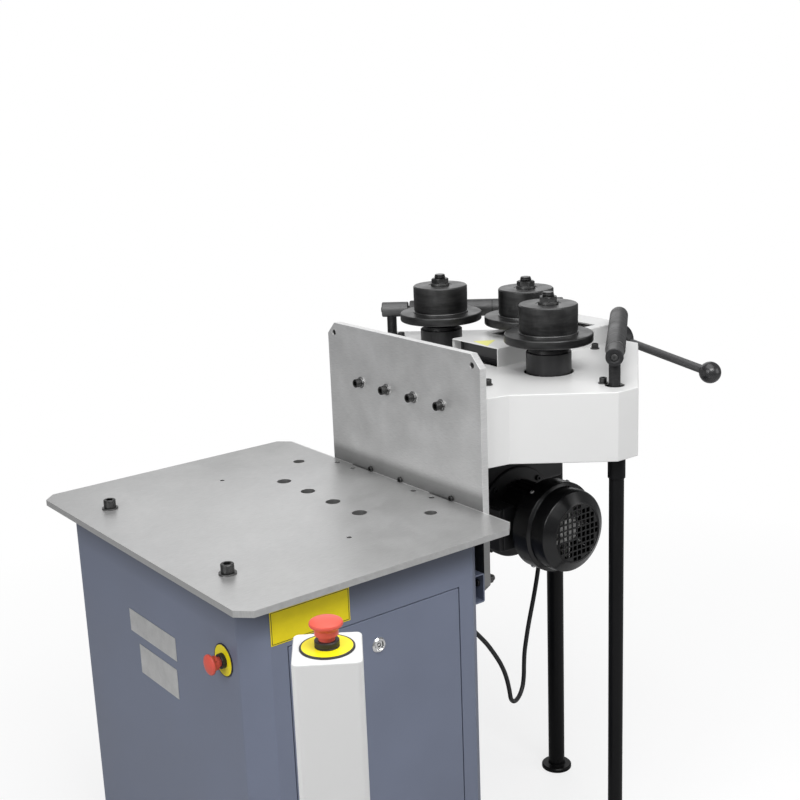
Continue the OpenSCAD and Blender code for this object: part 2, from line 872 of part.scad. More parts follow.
// Ribbed motor body along Y, with its end shield, shaft and fan
module motor() {
  ribs = 32;
  reach = motor_reach - 70;
  color(black)
  translate([motor_x, head_y - 70, motor_z]) along_front()
  difference() {
    union() {
      linear_extrude(reach - cowl_len + 6)
        union() {
          circle(d = motor_d - 22);
          for (i = [0:ribs - 1])
            rotate([0, 0, i * 360 / ribs]) translate([0, -1.5]) square([motor_d / 2, 3]);
        }
      // End shield inside the cowl
      translate([0, 0, reach - cowl_len - 12]) disc(cowl_d + 2 * cowl_step - 6.6, 18, 2);
      // Entry boss of the cable
      translate([boss_x - motor_x, -motor_d / 2, head_y - 70 - boss_y]) rotate([-90, 0, 0])
        cylinder(d = 30, h = 20);
      // Shaft end and fan
      cylinder(d = 22, h = reach - 22, $fn = 32);
      translate([0, 0, reach - 52]) {
        cylinder(d = 50, h = 26, $fn = 32);
        for (i = [0:7])
          rotate([0, 0, i * 45]) translate([0, -1.5, 0]) cube([62, 3, 24]);
      }
    }
    // Flat for the terminal box
    difference() {
      translate([-motor_d, -50, -cut]) cube([motor_d - box_seat + 12, 100, 70 + cut]);
      translate([-box_seat, -38, -2 * cut]) cube([40, 76, 90]);
    }
  }
}

// Fan cowl: turned shell with a stepped dome and a square-mesh grille
module motor_cowl() {
  r = cowl_d / 2;
  skirt = r + cowl_step;
  pitch = 12.5;
  hole = 9.5;
  grille_r = 60;
  wall = 3;
  dome = 30;
  step = 52;
  color(black)
  translate([motor_x, head_y - motor_reach, motor_z]) rotate([-90, 0, 0])
  difference() {
    rotate_extrude()
      polygon(concat(
        [[0, 2], [grille_r, 2], [grille_r + 2, 0]],
        [for (a = [0:15:90]) [grille_r + 2 + (r - grille_r - 2) * sin(a), dome * (1 - cos(a))]],
        [[r, step - 4], [skirt, step], [skirt, cowl_len], [skirt - wall, cowl_len],
         [skirt - wall, step + 3], [r - wall, step - 1]],
        [for (a = [90:-15:0])
          [grille_r + 2 - wall + (r - grille_r - 2) * sin(a), 5 + (dome - 3) * (1 - cos(a))]],
        [[0, 5]]
      ));
    for (i = [-4.5:4.5], j = [-4.5:4.5])
      if (norm([abs(i) * pitch + hole / 2, abs(j) * pitch + hole / 2]) < grille_r + 3)
        translate([i * pitch - hole / 2, j * pitch - hole / 2, -cut])
          cube([hole, hole, 10]);
  }
}

module terminal_box() {
  color(black)
  translate([motor_x - box_seat, head_y - 139, motor_z - 47]) rotate([0, -90, 0]) {
    // Box and lid
    cube([94, 68, 34]);
    translate([2, 2, 33.9]) cube([90, 64, 12.1]);
  }
}

// ---------------------------------------------------------------- cable

// Direction of the route at point i
function heading(p, i) =
  i == 0 ? [1, 0, 0] :
  i == len(p) - 1 ? [0, 0, 1] :
  (p[i + 1] - p[i - 1]) / norm(p[i + 1] - p[i - 1]);

// Ring of the tube around point i
function ring(p, i, r, n) =
  let (t = heading(p, i), s = cross(t, [0, 1, 0]), u = s / norm(s), v = cross(u, t))
  [for (k = [0:n - 1]) p[i] + r * (cos(360 * k / n) * u + sin(360 * k / n) * v)];

// Closed tube along a list of points
module tube(p, r, n = 10) {
  m = len(p);
  pts = [for (i = [0:m - 1]) each ring(p, i, r, n)];
  sides = [for (i = [0:m - 2], k = [0:n - 1])
    [i * n + k, i * n + (k + 1) % n, (i + 1) * n + (k + 1) % n, (i + 1) * n + k]];
  ends = [[for (k = [n - 1:-1:0]) k], [for (k = [0:n - 1]) (m - 1) * n + k]];
  polyhedron(pts, concat(sides, ends));
}

module motor_cable() {
  color(black) tube(cable_route, cable_d / 2);
}

module cable_glands() {
  color(black) {
    translate([cab_x1, gland_y, gland_z]) along_x() {
      hex(24, 8);
      translate([0, 0, 7.9]) disc(20, gland_l - 7.9, 3);
    }
    translate([boss_x, boss_y, boss_z - boss_gland_l]) {
      disc(20, 16.1, 3);
      translate([0, 0, 16]) hex(24, boss_gland_l - 16);
    }
  }
}

// ---------------------------------------------------------------- legs

// Leg tube under the head with a foot disc
module leg(d) {
  color(black) {
    difference() {
      translate([0, 0, 8]) cylinder(d = d, h = leg_z - 8, $fn = 48);
      translate([0, 0, 20]) cylinder(d = d - 6, h = leg_z, $fn = 48);
    }
    disc(leg_foot_d, 10, 2);
  }
}

module side_leg() {
  leg(leg_d);
  color(black)
    translate([0, 0, leg_z - 50]) disc(sleeve_d, 50, 0.5, leg_d - 2);
}

// ---------------------------------------------------------------- assembly

place() cabinet();
place() access_panel();
place() panel_lock();
place() cabinet_feet();
place() table_plate();
place() table_bolts();
place() upright_plate();
place() upright_rail();
place() upright_screws();
place() rail_bolts();
place() on_cabinet_front() stop_base();  // cabinet_stop_base
place() on_cabinet_front() stop_button();  // cabinet_stop_button
place() control_post();
place() on_post() stop_base();  // post_stop_base
place() on_post() stop_button();  // post_stop_button
place() head_base();
place() head_cover();
place() readout();
place() cover_screws();
place() shaft_housings();
place() translate([drive_x, near_y, 0]) spindle(head_z - 25);  // near_spindle
place() translate([drive_x, far_y, 0]) spindle(head_z - 25);  // far_spindle
place() translate([drive_x, near_y, 0]) flange();  // near_flange
place() translate([drive_x, far_y, 0]) flange();  // far_flange
place() translate([drive_x, near_y, 0]) roller();  // near_roller
place() translate([drive_x, far_y, 0]) roller();  // far_roller
place() press_carriage();
place() translate([press_axis_x, head_mid, 0]) spindle(carriage_low + 15);  // press_spindle
place() translate([press_axis_x, head_mid, 0]) flange();  // press_flange
place() translate([press_axis_x, head_mid, 0]) roller();  // press_roller
place() at_near_guide() guide_post();  // near_guide_post
place() at_far_guide() guide_post();  // far_guide_post
place() at_near_guide() guide_roller();  // near_guide_roller
place() at_far_guide() guide_roller();  // far_guide_roller
place() press_screw();
place() press_lever();
place() gearbox();
place() motor();
place() motor_cowl();
place() terminal_box();
place() motor_cable();
place() cable_glands();
place() translate([side_leg_x, head_mid - guide_half, 0]) side_leg();  // near_leg
place() translate([side_leg_x, head_mid + guide_half, 0]) side_leg();  // far_leg
place() translate([rear_leg_x, head_y, 0]) leg(rear_leg_d);  // rear_leg
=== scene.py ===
"""Finishes and detail pieces of a three-roll profile bending machine.

A cabinet carries a ground steel table. An upright plate behind the table carries
the bending head: a sheet-metal cover over three spindles with their rollers, a
slide for the press roller, two guide rollers and a geared motor underneath.
Three tube legs hold the head, and a post with a stop button stands by the table.

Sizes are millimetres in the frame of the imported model. Each class reads the
places of its pieces from the model's own boxes, builds its meshes with bmesh
operators and dresses them.
"""

import logging
import math
from dataclasses import dataclass
from enum import Enum
from typing import Callable, Optional, Sequence, Union

import bmesh
import bpy
from mathutils import Matrix, Vector


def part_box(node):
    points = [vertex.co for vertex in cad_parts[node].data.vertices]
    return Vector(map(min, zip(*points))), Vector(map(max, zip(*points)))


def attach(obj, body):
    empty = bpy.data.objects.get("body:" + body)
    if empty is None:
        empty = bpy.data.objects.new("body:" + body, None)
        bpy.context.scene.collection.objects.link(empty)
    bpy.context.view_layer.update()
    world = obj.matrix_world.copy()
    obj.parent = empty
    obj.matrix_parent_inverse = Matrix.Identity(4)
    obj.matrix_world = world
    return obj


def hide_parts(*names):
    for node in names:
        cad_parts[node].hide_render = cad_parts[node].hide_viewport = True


log = logging.getLogger("bender")

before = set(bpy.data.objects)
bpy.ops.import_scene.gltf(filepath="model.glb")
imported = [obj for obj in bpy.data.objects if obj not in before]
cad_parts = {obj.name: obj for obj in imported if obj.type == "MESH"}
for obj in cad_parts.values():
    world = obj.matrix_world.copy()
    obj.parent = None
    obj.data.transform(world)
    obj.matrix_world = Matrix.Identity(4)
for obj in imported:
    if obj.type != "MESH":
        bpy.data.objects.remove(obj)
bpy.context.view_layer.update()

MM = 0.001
X_AXIS = Vector((1.0, 0.0, 0.0))
Y_AXIS = Vector((0.0, 1.0, 0.0))
Z_AXIS = Vector((0.0, 0.0, 1.0))
SIDES = (-1, 1)
FOUR_STEPS = (-1.5, -0.5, 0.5, 1.5)
HEX_SHARE = math.cos(math.pi / 6)

Socket = bpy.types.NodeSocket
Edge = bmesh.types.BMEdge
Material = bpy.types.Material
Outline = Sequence[tuple[float, float]]


# --- measuring


class Span:
    """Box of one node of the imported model, in millimetres."""

    def __init__(self, node: str) -> None:
        """Reads the box.

        Args:
            node: Name of the node.
        """
        low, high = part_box(node)
        self.low: Vector = low / MM
        self.high: Vector = high / MM

    @property
    def middle(self) -> Vector:
        """Centre of the box."""
        return (self.low + self.high) / 2

    @property
    def size(self) -> Vector:
        """Edge lengths of the box."""
        return self.high - self.low


# --- shaping


class Shape:
    """A mesh under construction, in millimetres."""

    def __init__(self) -> None:
        """Starts an empty mesh."""
        self.bm = bmesh.new()

    def _paint(self, before: set, slot: int) -> None:
        """Gives the faces made since a moment a material slot.

        Args:
            before: Faces that existed at that moment.
            slot: Its material slot.
        """
        for face in self.bm.faces:
            if face not in before:
                face.material_index = slot

    def box(self, low: Sequence[float], high: Sequence[float], slot: int = 0) -> "Shape":
        """Adds a box between two corners.

        Args:
            low: Lowest corner.
            high: Highest corner.
            slot: Its material slot.

        Returns:
            The shape, for the next step.
        """
        before = set(self.bm.faces)
        low_v, high_v = Vector(low), Vector(high)
        size = high_v - low_v
        place = Matrix.Translation((low_v + high_v) / 2) @ Matrix.Diagonal((*size, 1.0))
        bmesh.ops.create_cube(self.bm, size=1.0, matrix=place)
        self._paint(before, slot)
        return self

    def rod(
        self,
        start: Vector,
        end: Vector,
        radius: float,
        radius_end: Optional[float] = None,
        sides: int = 48,
        slot: int = 0,
        turn: float = 0.0,
    ) -> "Shape":
        """Adds a round or many-sided bar from one point to another.

        Args:
            start: Middle of the first end.
            end: Middle of the other end.
            radius: Radius at the first end, to the corners on a many-sided bar.
            radius_end: Radius at the other end, or None for the same.
            sides: Number of sides.
            slot: Its material slot.
            turn: Turn about the bar's own axis, in radians.

        Returns:
            The shape, for the next step.
        """
        before = set(self.bm.faces)
        along = Vector(end) - Vector(start)
        facing = along.to_track_quat("Z", "Y").to_matrix().to_4x4()
        place = Matrix.Translation((Vector(start) + Vector(end)) / 2) @ facing
        bmesh.ops.create_cone(
            self.bm, cap_ends=True, segments=sides, radius1=radius,
            radius2=radius if radius_end is None else radius_end, depth=along.length,
            matrix=place @ Matrix.Rotation(turn, 4, "Z")
        )
        self._paint(before, slot)
        return self

    def turned(
        self,
        profile: Outline,
        foot: Vector,
        axis: Vector = Z_AXIS,
        steps: int = 64,
        slot: int = 0,
    ) -> "Shape":
        """Adds a turned form: a profile spun about an axis.

        Args:
            profile: Points of (radius, height), from one end to the other; a closed
                ring repeats its first point.
            foot: Point on the axis that the heights count from.
            axis: Direction of the axis.
            steps: Number of steps round the axis.
            slot: Its material slot.

        Returns:
            The shape, for the next step.
        """
        part = bmesh.new()
        ring = profile[0] == profile[-1]
        points = profile[:-1] if ring else profile
        verts = [part.verts.new((radius, 0.0, height)) for radius, height in points]
        edges = [part.edges.new(pair) for pair in zip(verts, verts[1:])]
        if ring:
            edges.append(part.edges.new((verts[-1], verts[0])))
        bmesh.ops.spin(
            part, geom=verts + edges, cent=(0, 0, 0), axis=(0, 0, 1), angle=2 * math.pi, steps=steps,
            use_merge=True
        )
        bmesh.ops.remove_doubles(part, verts=part.verts, dist=0.001)
        bmesh.ops.recalc_face_normals(part, faces=part.faces)
        facing = Vector(axis).to_track_quat("Z", "Y").to_matrix().to_4x4()
        bmesh.ops.transform(part, matrix=Matrix.Translation(foot) @ facing, verts=part.verts)
        return self._take(part, slot)

    def prism(
        self,
        outline: Outline,
        depth: float,
        place: Matrix = Matrix.Identity(4),
        slot: int = 0,
    ) -> "Shape":
        """Adds an outline drawn out to a depth.

        Args:
            outline: Corners of (x, y), counter-clockwise.
            depth: Length along the outline's own +Z.
            place: Where the outline's own frame lies.
            slot: Its material slot.

        Returns:
            The shape, for the next step.
        """
        part = bmesh.new()
        face = part.faces.new([part.verts.new((x, y, 0.0)) for x, y in outline])
        drawn = bmesh.ops.extrude_face_region(part, geom=[face])
        top = [item for item in drawn["geom"] if isinstance(item, bmesh.types.BMVert)]
        bmesh.ops.translate(part, vec=(0, 0, depth), verts=top)
        bmesh.ops.recalc_face_normals(part, faces=part.faces)
        bmesh.ops.transform(part, matrix=place, verts=part.verts)
        return self._take(part, slot)

    def _take(self, part: bmesh.types.BMesh, slot: int) -> "Shape":
        """Moves another mesh into this one.

        Args:
            part: The other mesh, which is freed.
            slot: Index of the material slot for its faces, or -1 to keep them.

        Returns:
            The shape, for the next step.
        """
        before = set(self.bm.faces)
        mesh = bpy.data.meshes.new("part")
        part.to_mesh(mesh)
        part.free()
        self.bm.from_mesh(mesh)
        bpy.data.meshes.remove(mesh)
        if slot >= 0:
            self._paint(before, slot)
        return self

    def add(self, other: "Shape") -> "Shape":
        """Moves another shape into this one, with its material slots."""
        return self._take(other.bm, -1)

    def round(
        self,
        width: float,
        segments: int = 2,
        limit: float = 30.0,
        test: Optional[Callable[[Edge], bool]] = None,
    ) -> "Shape":
        """Rounds sharp edges.

        Args:
            width: Width of the rounding.
            segments: Number of strips in it.
            limit: Angle between faces above which an edge is sharp, in degrees.
            test: Further test that an edge must pass.

        Returns:
            The shape, for the next step.
        """
        sharp = math.radians(limit)
        edges = [
            edge for edge in self.bm.edges if len(
                edge.link_faces
            ) == 2 and edge.calc_face_angle(0.0) > sharp and (test is None or test(edge))
        ]
        bmesh.ops.bevel(
            self.bm, geom=edges, offset=width, offset_type="OFFSET", segments=segments, profile=0.5,
            affect="EDGES", material=-1, clamp_overlap=True
        )
        return self

    def _object(self, name: str) -> bpy.types.Object:
        """Makes a plain object of the shape, which is freed.

        Args:
            name: Name of the object and its mesh.

        Returns:
            The object.
        """
        mesh = bpy.data.meshes.new(name)
        self.bm.to_mesh(mesh)
        self.bm.free()
        made = bpy.data.objects.new(name, mesh)
        bpy.context.scene.collection.objects.link(made)
        return made

    def _combine(self, other: "Shape", operation: str) -> "Shape":
        """Combines the shape with another by an exact boolean.

        Args:
            other: The other shape, which is used up.
            operation: DIFFERENCE, UNION or INTERSECT.

        Returns:
            The shape, for the next step.
        """
        body, tool = self._object("body"), other._object("tool")
        cut = body.modifiers.new("cut", "BOOLEAN")
        cut.operation = operation
        cut.solver = "EXACT"
        cut.use_self = True
        cut.object = tool
        graph = bpy.context.evaluated_depsgraph_get()
        result = body.evaluated_get(graph).to_mesh()
        self.bm = bmesh.new()
        self.bm.from_mesh(result)
        for used in (body, tool):
            mesh = used.data
            bpy.data.objects.remove(used)
            bpy.data.meshes.remove(mesh)
        bmesh.ops.remove_doubles(self.bm, verts=self.bm.verts, dist=0.001)
        bmesh.ops.dissolve_degenerate(self.bm, edges=self.bm.edges, dist=0.001)
        return self

    def cut(self, tool: "Shape") -> "Shape":
        """Cuts another shape out of this one."""
        return self._combine(tool, "DIFFERENCE")

    def fuse(self, other: "Shape") -> "Shape":
        """Fuses another shape with this one into one skin."""
        return self._combine(other, "UNION")

    def meet(self, other: "Shape") -> "Shape":
        """Keeps what this shape and another have in common."""
        return self._combine(other, "INTERSECT")

    def drill(self, start: Vector, end: Vector, radius: float, sides: int = 48) -> "Shape":
        """Cuts a round hole from one point to another."""
        return self.cut(Shape().rod(start, end, radius, sides=sides))

    def mark(self, test: Callable[[bmesh.types.BMFace], bool], slot: int = 1) -> "Shape":
        """Gives the faces that pass a test a material slot.

        Args:
            test: The test.
            slot: Its material slot.

        Returns:
            The shape, for the next step.
        """
        for face in self.bm.faces:
            if test(face):
                face.material_index = slot
        return self

    def move(self, matrix: Matrix) -> "Shape":
        """Moves the whole shape."""
        bmesh.ops.transform(self.bm, matrix=matrix, verts=self.bm.verts)
        return self

    def finish(
        self,
        name: str,
        body: str,
        finishes: Sequence[Material],
        replaces: Sequence[str] = (),
        slot: str = "",
        smooth: float = 32.0,
    ) -> bpy.types.Object:
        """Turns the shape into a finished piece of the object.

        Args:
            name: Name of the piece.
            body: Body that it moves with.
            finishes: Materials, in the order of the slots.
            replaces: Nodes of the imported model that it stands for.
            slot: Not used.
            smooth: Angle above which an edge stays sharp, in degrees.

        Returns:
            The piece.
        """
        bmesh.ops.scale(self.bm, vec=(MM, MM, MM), verts=self.bm.verts)
        piece = self._object(name)
        for finish in finishes:
            piece.data.materials.append(finish)
        piece.data.shade_smooth()
        piece.data.set_sharp_from_angle(angle=math.radians(smooth))
        weigh = piece.modifiers.new("weigh", "WEIGHTED_NORMAL")
        weigh.keep_sharp = True
        weigh.weight = 50
        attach(piece, body)
        if replaces:
            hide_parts(*replaces)
        log.info("%s: %d faces", name, len(piece.data.polygons))
        return piece


def chamfered(width: float, height: float, chamfer: float) -> list[tuple[float, float]]:
    """Outline of a rectangle from the origin with its four corners cut off.

    Args:
        width: Size along x.
        height: Size along y.
        chamfer: Length cut off each corner.

    Returns:
        The corners, counter-clockwise.
    """
    return [
        (chamfer, 0), (width - chamfer, 0), (width, chamfer), (width, height - chamfer),
        (width - chamfer, height), (chamfer, height), (0, height - chamfer), (0, chamfer)
    ]


def facing(point: Vector, towards: Vector, up: Vector = Z_AXIS) -> Matrix:
    """Frame at a point whose +Z runs in a direction and whose +Y leans to another.

    Args:
        point: Origin of the frame.
        towards: Direction of +Z.
        up: Direction that +Y leans to.

    Returns:
        The frame.
    """
    z = towards.normalized()
    x = up.cross(z).normalized()
    y = z.cross(x)
    turn = Matrix((x, y, z)).transposed().to_4x4()
    return Matrix.Translation(point) @ turn


def arc(centre: tuple[float, float], across: float, high: float, degrees: Sequence[float]) -> Outline:
    """Points along an ellipse.

    Args:
        centre: Its centre.
        across: Its half width.
        high: Its half height.
        degrees: Angle of each point.

    Returns:
        The points.
    """
    angles = [math.radians(a) for a in degrees]
    return [(centre[0] + across * math.cos(a), centre[1] + high * math.sin(a)) for a in angles]


def slab(outline: Outline, low: float, depth: float) -> Shape:
    """Upright prism of an outline from a height on."""
    return Shape().prism(outline, depth, Matrix.Translation((0, 0, low)))


def upright(edge: Edge) -> bool:
    """Whether an edge stands upright."""
    along = edge.verts[1].co - edge.verts[0].co
    return abs(along.z) > 0.9 * along.length


def along_y(edge: Edge) -> bool:
    """Whether an edge runs along Y for more than 50 mm."""
    return abs((edge.verts[1].co - edge.verts[0].co).y) > 50


# --- finishes


class Graph:
    """Node graph of one material."""

    def __init__(self, name: str) -> None:
        """Starts a material with its surface shader.

        Args:
            name: Name of the material.
        """
        self.material = bpy.data.materials.new(name)
        self.material.use_nodes = True
        self.nodes = self.material.node_tree.nodes
        self.links = self.material.node_tree.links
        self.nodes.clear()
        self.shader = self.nodes.new("ShaderNodeBsdfPrincipled")
        self.surface = self.nodes.new("ShaderNodeOutputMaterial").inputs["Surface"]
        self.links.new(self.shader.outputs["BSDF"], self.surface)

    def put(self, socket: Socket, item: object) -> None:
        """Links a socket or sets its value.

        Args:
            socket: The socket.
            item: Another socket, or a value; a colour has three numbers.
        """
        if isinstance(item, Socket):
            self.links.new(item, socket)
        else:
            socket.default_value = (*item, 1.0) if socket.type == "RGBA" else item

    def node(self, kind: str, inputs: dict[Union[int, str], object], **settings: str) -> bpy.types.Node:
        """Adds a node.

        Args:
            kind: Its type, without the start that all types share.
            inputs: Socket or value for each of its inputs, by number or name.
            settings: Its properties.

        Returns:
            The node.
        """
        node = self.nodes.new("ShaderNode" + kind)
        for key, setting in settings.items():
            setattr(node, key, setting)
        for key, item in inputs.items():
            self.put(node.inputs[key], item)
        return node

    def set(self, **values: object) -> "Graph":
        """Links or sets sockets of the shader.

        Args:
            values: What each takes, by its name with underscores for spaces.

        Returns:
            The graph.
        """
        for key, value in values.items():
            self.put(self.shader.inputs[key.replace("_", " ")], value)
        return self

    def place(self, centre: Vector = Vector()) -> Socket:
        """Object coordinates, counted from a point.

        Args:
            centre: The point, in metres.

        Returns:
            The coordinates' socket.
        """
        coords = self.node("TexCoord", {}).outputs["Object"]
        if centre.length == 0:
            return coords
        shift = self.node("VectorMath", {0: coords, 1: centre}, operation="SUBTRACT")
        return self.node("Mapping", {"Vector": shift.outputs[0]}).outputs["Vector"]

    def stretch(self, vector: Socket, scale: Sequence[float]) -> Socket:
        """Coordinates scaled along each axis."""
        return self.node("Mapping", {"Vector": vector, "Scale": scale}).outputs["Vector"]

    def axes(self, vector: Socket) -> Sequence[Socket]:
        """The three parts of coordinates."""
        return self.node("SeparateXYZ", {0: vector}).outputs

    def noise(self, vector: Socket, scale: float, detail: float = 3.0, roughness: float = 0.55) -> Socket:
        """Noise pattern.

        Args:
            vector: Coordinates that it reads.
            scale: Its scale, per metre.
            detail: Number of octaves.
            roughness: Strength of the fine octaves.

        Returns:
            The pattern's value, about 0.3 to 0.7.
        """
        inputs = {"Vector": vector, "Scale": scale, "Detail": detail, "Roughness": roughness}
        return self.node("TexNoise", inputs).outputs["Fac"]

    def ramp(self, value: Socket, stops: Sequence[tuple[float, Sequence[float]]]) -> Socket:
        """Colours or greys laid over a value.

        Args:
            value: The value.
            stops: Pairs of a position and a colour.

        Returns:
            The colour's socket.
        """
        node = self.node("ValToRGB", {"Fac": value})
        band = node.color_ramp
        while len(band.elements) < len(stops):
            band.elements.new(0.5)
        for element, (position, colour) in zip(band.elements, stops):
            element.position = position
            element.color = (*colour, 1.0)
        return node.outputs["Color"]

    def between(self, value: Socket, low: float, high: float, start: float = 0.0, end: float = 1.0) -> Socket:
        """Value moved from the range low to high into the range start to end, and held there."""
        return self.node("MapRange", dict(enumerate((value, low, high, start, end)))).outputs[0]

    def math(self, operation: str, a: object, b: object = 0.0) -> Socket:
        """Sum, product or other operation on sockets or numbers."""
        return self.node("Math", {0: a, 1: b}, operation=operation).outputs[0]

    def mix(self, share: object, a: object, b: object, blend: str = "MIX") -> Socket:
        """Mix of two colours, each a socket or three numbers, by the share of the second."""
        return self.node("Mix", {0: share, 6: a, 7: b}, data_type="RGBA", blend_type=blend).outputs[2]

    def bump(self, height: Socket, strength: float, distance: float) -> "Graph":
        """Adds relief of a strength from 0 to 1 and a depth in metres."""
        node = self.node("Bump", {"Strength": strength, "Distance": distance, "Height": height})
        return self.set(Normal=node.outputs["Normal"])


@dataclass(frozen=True)
class Paint:
    """Sprayed or powder-coated paint with a faint orange peel."""

    name: str
    colour: tuple[float, float, float]
    roughness: float = 0.4
    peel: float = 0.12
    peel_scale: float = 420.0
    shade: float = 0.06
    coat: float = 0.0
    mirror: float = 0.5
    # Heights in mm between which the paint darkens into painted shade.
    painted_shade_heights: tuple[float, float] = (0.0, 0.0)

    def build(self) -> Material:
        """Makes the material.

        Returns:
            The material.
        """
        graph = Graph(self.name)
        graph.set(Coat_Weight=self.coat, Coat_Roughness=0.12, Specular_IOR_Level=self.mirror)
        coords = graph.place()
        cloud = graph.noise(coords, 5.0, 4.0)
        light = [min(1.0, part * (1 + self.shade)) for part in self.colour]
        dark = [part * (1 - self.shade) for part in self.colour]
        colour = graph.ramp(cloud, [(0.3, dark), (0.7, light)])
        # Painted shade: the paint darkens towards 30% of its colour from the lower height up to the upper
        # one, standing in for the shade under the table.
        if self.painted_shade_heights[1] > 0.0:
            share = graph.between(graph.axes(coords)[2], *(height * MM for height in self.painted_shade_heights))
            colour = graph.mix(share, colour, [part * 0.30 for part in self.colour])
        grain = graph.noise(coords, self.peel_scale, 2.0)
        rough = graph.between(cloud, 0.3, 0.7, self.roughness - 0.05, self.roughness + 0.05)
        return graph.set(Base_Color=colour, Roughness=rough).bump(grain, self.peel, 0.0004).material


class PaintedLight(Enum):
    """Places of a ground plate where light and shade are painted into its colour."""

    NONE = "none"
    TABLE = "table"
    UPRIGHT = "upright"


@dataclass(frozen=True)
class GroundSteel:
    """Ground plate steel with fine lines in one direction."""

    name: str
    tone: float
    lines: tuple[float, float, float]
    roughness: float = 0.34
    metal: float = 0.8
    # Which plate gets painted light and shade.
    painted_light: PaintedLight = PaintedLight.NONE

    def wear_and_painted_light(self, graph: Graph, coords: Socket) -> Socket:
        """Share of the plate's colour that carries the painted light and shade.

        Args:
            graph: The material's graph.
            coords: Object coordinates.

        Returns:
            The share.
        """
        x, y, z = graph.axes(coords)
        table, plate = Span("table_plate"), Span("upright_plate")
        top, joint = table.high.z * MM, plate.low.x * MM
        if self.painted_light is PaintedLight.TABLE:
            length, width = table.size.y * MM, table.size.x * MM
            # Table: towards its high y end it gets up to 12% lighter by its low x edge and up to 24% darker
            # farther along x.
            back = graph.between(y, table.low.y * MM + 0.45 * length, table.high.y * MM)
            deep = graph.between(x, table.low.x * MM, table.low.x * MM + 0.6 * width)
            slope = graph.math("SUBTRACT", 0.12, graph.math("MULTIPLY", deep, 0.36))
            soft = graph.math("ADD", 1.0, graph.math("MULTIPLY", back, slope))
            # Painted highlight: a bright line on the table just before its joint with the upright plate.
            rim = graph.between(x, joint - 0.0042, joint - 0.0026, 1.0, 1.45)
            return graph.math("MULTIPLY", soft, rim)
        # Upright plate: painted shadow on its front face below the table's top, painted shade on its edges
        # below it, a painted shade band just above the table and a little painted light higher up.
        front = graph.between(x, joint + 0.0002, joint + 0.0004, 1.0, 0.0)
        sides = graph.between(x, plate.high.x * MM - 0.0008, plate.high.x * MM - 0.0004, 1.0, 0.0)
        steps = [
            (place, [share] * 3) for place, share in ((0.0, 0.30), (0.55, 0.50), (0.85, 0.92), (1.0, 1.0))
        ]
        foot = graph.ramp(graph.between(z, top, top + 0.046), steps)
        middle = graph.between(z, top + 0.13, top + 0.28, 1.10, 1.0)
        upper = graph.math("MULTIPLY", foot, middle)
        lower = graph.between(z, top - 0.014, top - 0.010)
        front_painted_shade = graph.mix(lower, [0.12] * 3, upper)
        side_painted_shade = graph.between(z, top - 0.014, top - 0.010, 0.40, 1.0)
        side = graph.mix(sides, [1.0] * 3, graph.mix(1.0, side_painted_shade, [1.0] * 3, "MULTIPLY"))
        return graph.mix(front, side, front_painted_shade)

    def build(self) -> Material:
        """Makes the material.

        Returns:
            The material.
        """
        graph = Graph(self.name)
        graph.set(Metallic=self.metal)
        coords = graph.place()
        fine = graph.noise(graph.stretch(coords, self.lines), 1.0, 6.0, 0.65)
        broad = graph.noise(coords, 3.5, 3.0)
        smudge = graph.noise(coords, 14.0, 5.0, 0.6)
        tone = self.tone
        base = graph.ramp(fine, [(0.3, [tone * 0.90] * 3), (0.7, [min(1.0, tone * 1.08)] * 3)])
        tint = graph.ramp(broad, [(0.3, (0.93, 0.93, 0.92)), (0.7, (1.0, 1.0, 1.0))])
        tinted = graph.mix(1.0, base, tint, "MULTIPLY")
        # Painted light and shade for the table and the upright plate.
        if self.painted_light is not PaintedLight.NONE:
            tinted = graph.mix(1.0, tinted, self.wear_and_painted_light(graph, coords), "MULTIPLY")
        rough = graph.between(smudge, 0.3, 0.75, self.roughness - 0.05, self.roughness + 0.12)
        return graph.set(Base_Color=tinted, Roughness=rough).bump(fine, 0.10, 0.0003).material


@dataclass(frozen=True)
class TurnedSteel:
    """Blackened turned steel with tool rings and rubbed patches."""

    name: str
    tone: float
    centre: tuple[float, float, float] = (0.0, 0.0, 0.0)
    roughness: float = 0.42
    rubbed: float = 0.10
    metal: float = 0.9

    def build(self) -> Material:
        """Makes the material.

        Returns:
            The material.
        """
        graph = Graph(self.name)
        graph.set(Metallic=self.metal)
        coords = graph.place(Vector(self.centre) * MM)
        x, y, z = graph.axes(coords)
        squares = [graph.math("POWER", part, 2.0) for part in (x, y)]
        radius = graph.math("SQRT", graph.math("ADD", *squares))
        rings = graph.node("CombineXYZ", {2: graph.math("ADD", radius, z)})
        tool = graph.noise(graph.stretch(rings.outputs[0], (1, 1, 900.0)), 1.0, 4.0, 0.7)
        rub = graph.noise(graph.stretch(coords, (9.0, 9.0, 60.0)), 1.0, 6.0, 0.65)
        patch = graph.noise(coords, 22.0, 5.0, 0.6)
        tone = self.tone
        light = tone + self.rubbed
        body = graph.ramp(rub, [(0.38, [tone] * 3), (0.66, [light] * 3)])
        cloud = graph.ramp(patch, [(0.3, (0.72, 0.72, 0.73)), (0.65, (1.0, 1.0, 1.0))])
        colour = graph.mix(1.0, body, cloud, "MULTIPLY")
        edge = graph.between(graph.node("NewGeometry", {}).outputs["Pointiness"], 0.52, 0.60)
        wear_and_painted_light = graph.mix(edge, colour, [min(1.0, light * 1.9)] * 3)
        rough = graph.between(patch, 0.3, 0.7, self.roughness - 0.1, self.roughness + 0.12)
        return graph.set(Base_Color=wear_and_painted_light, Roughness=rough).bump(tool, 0.25, 0.0002).material


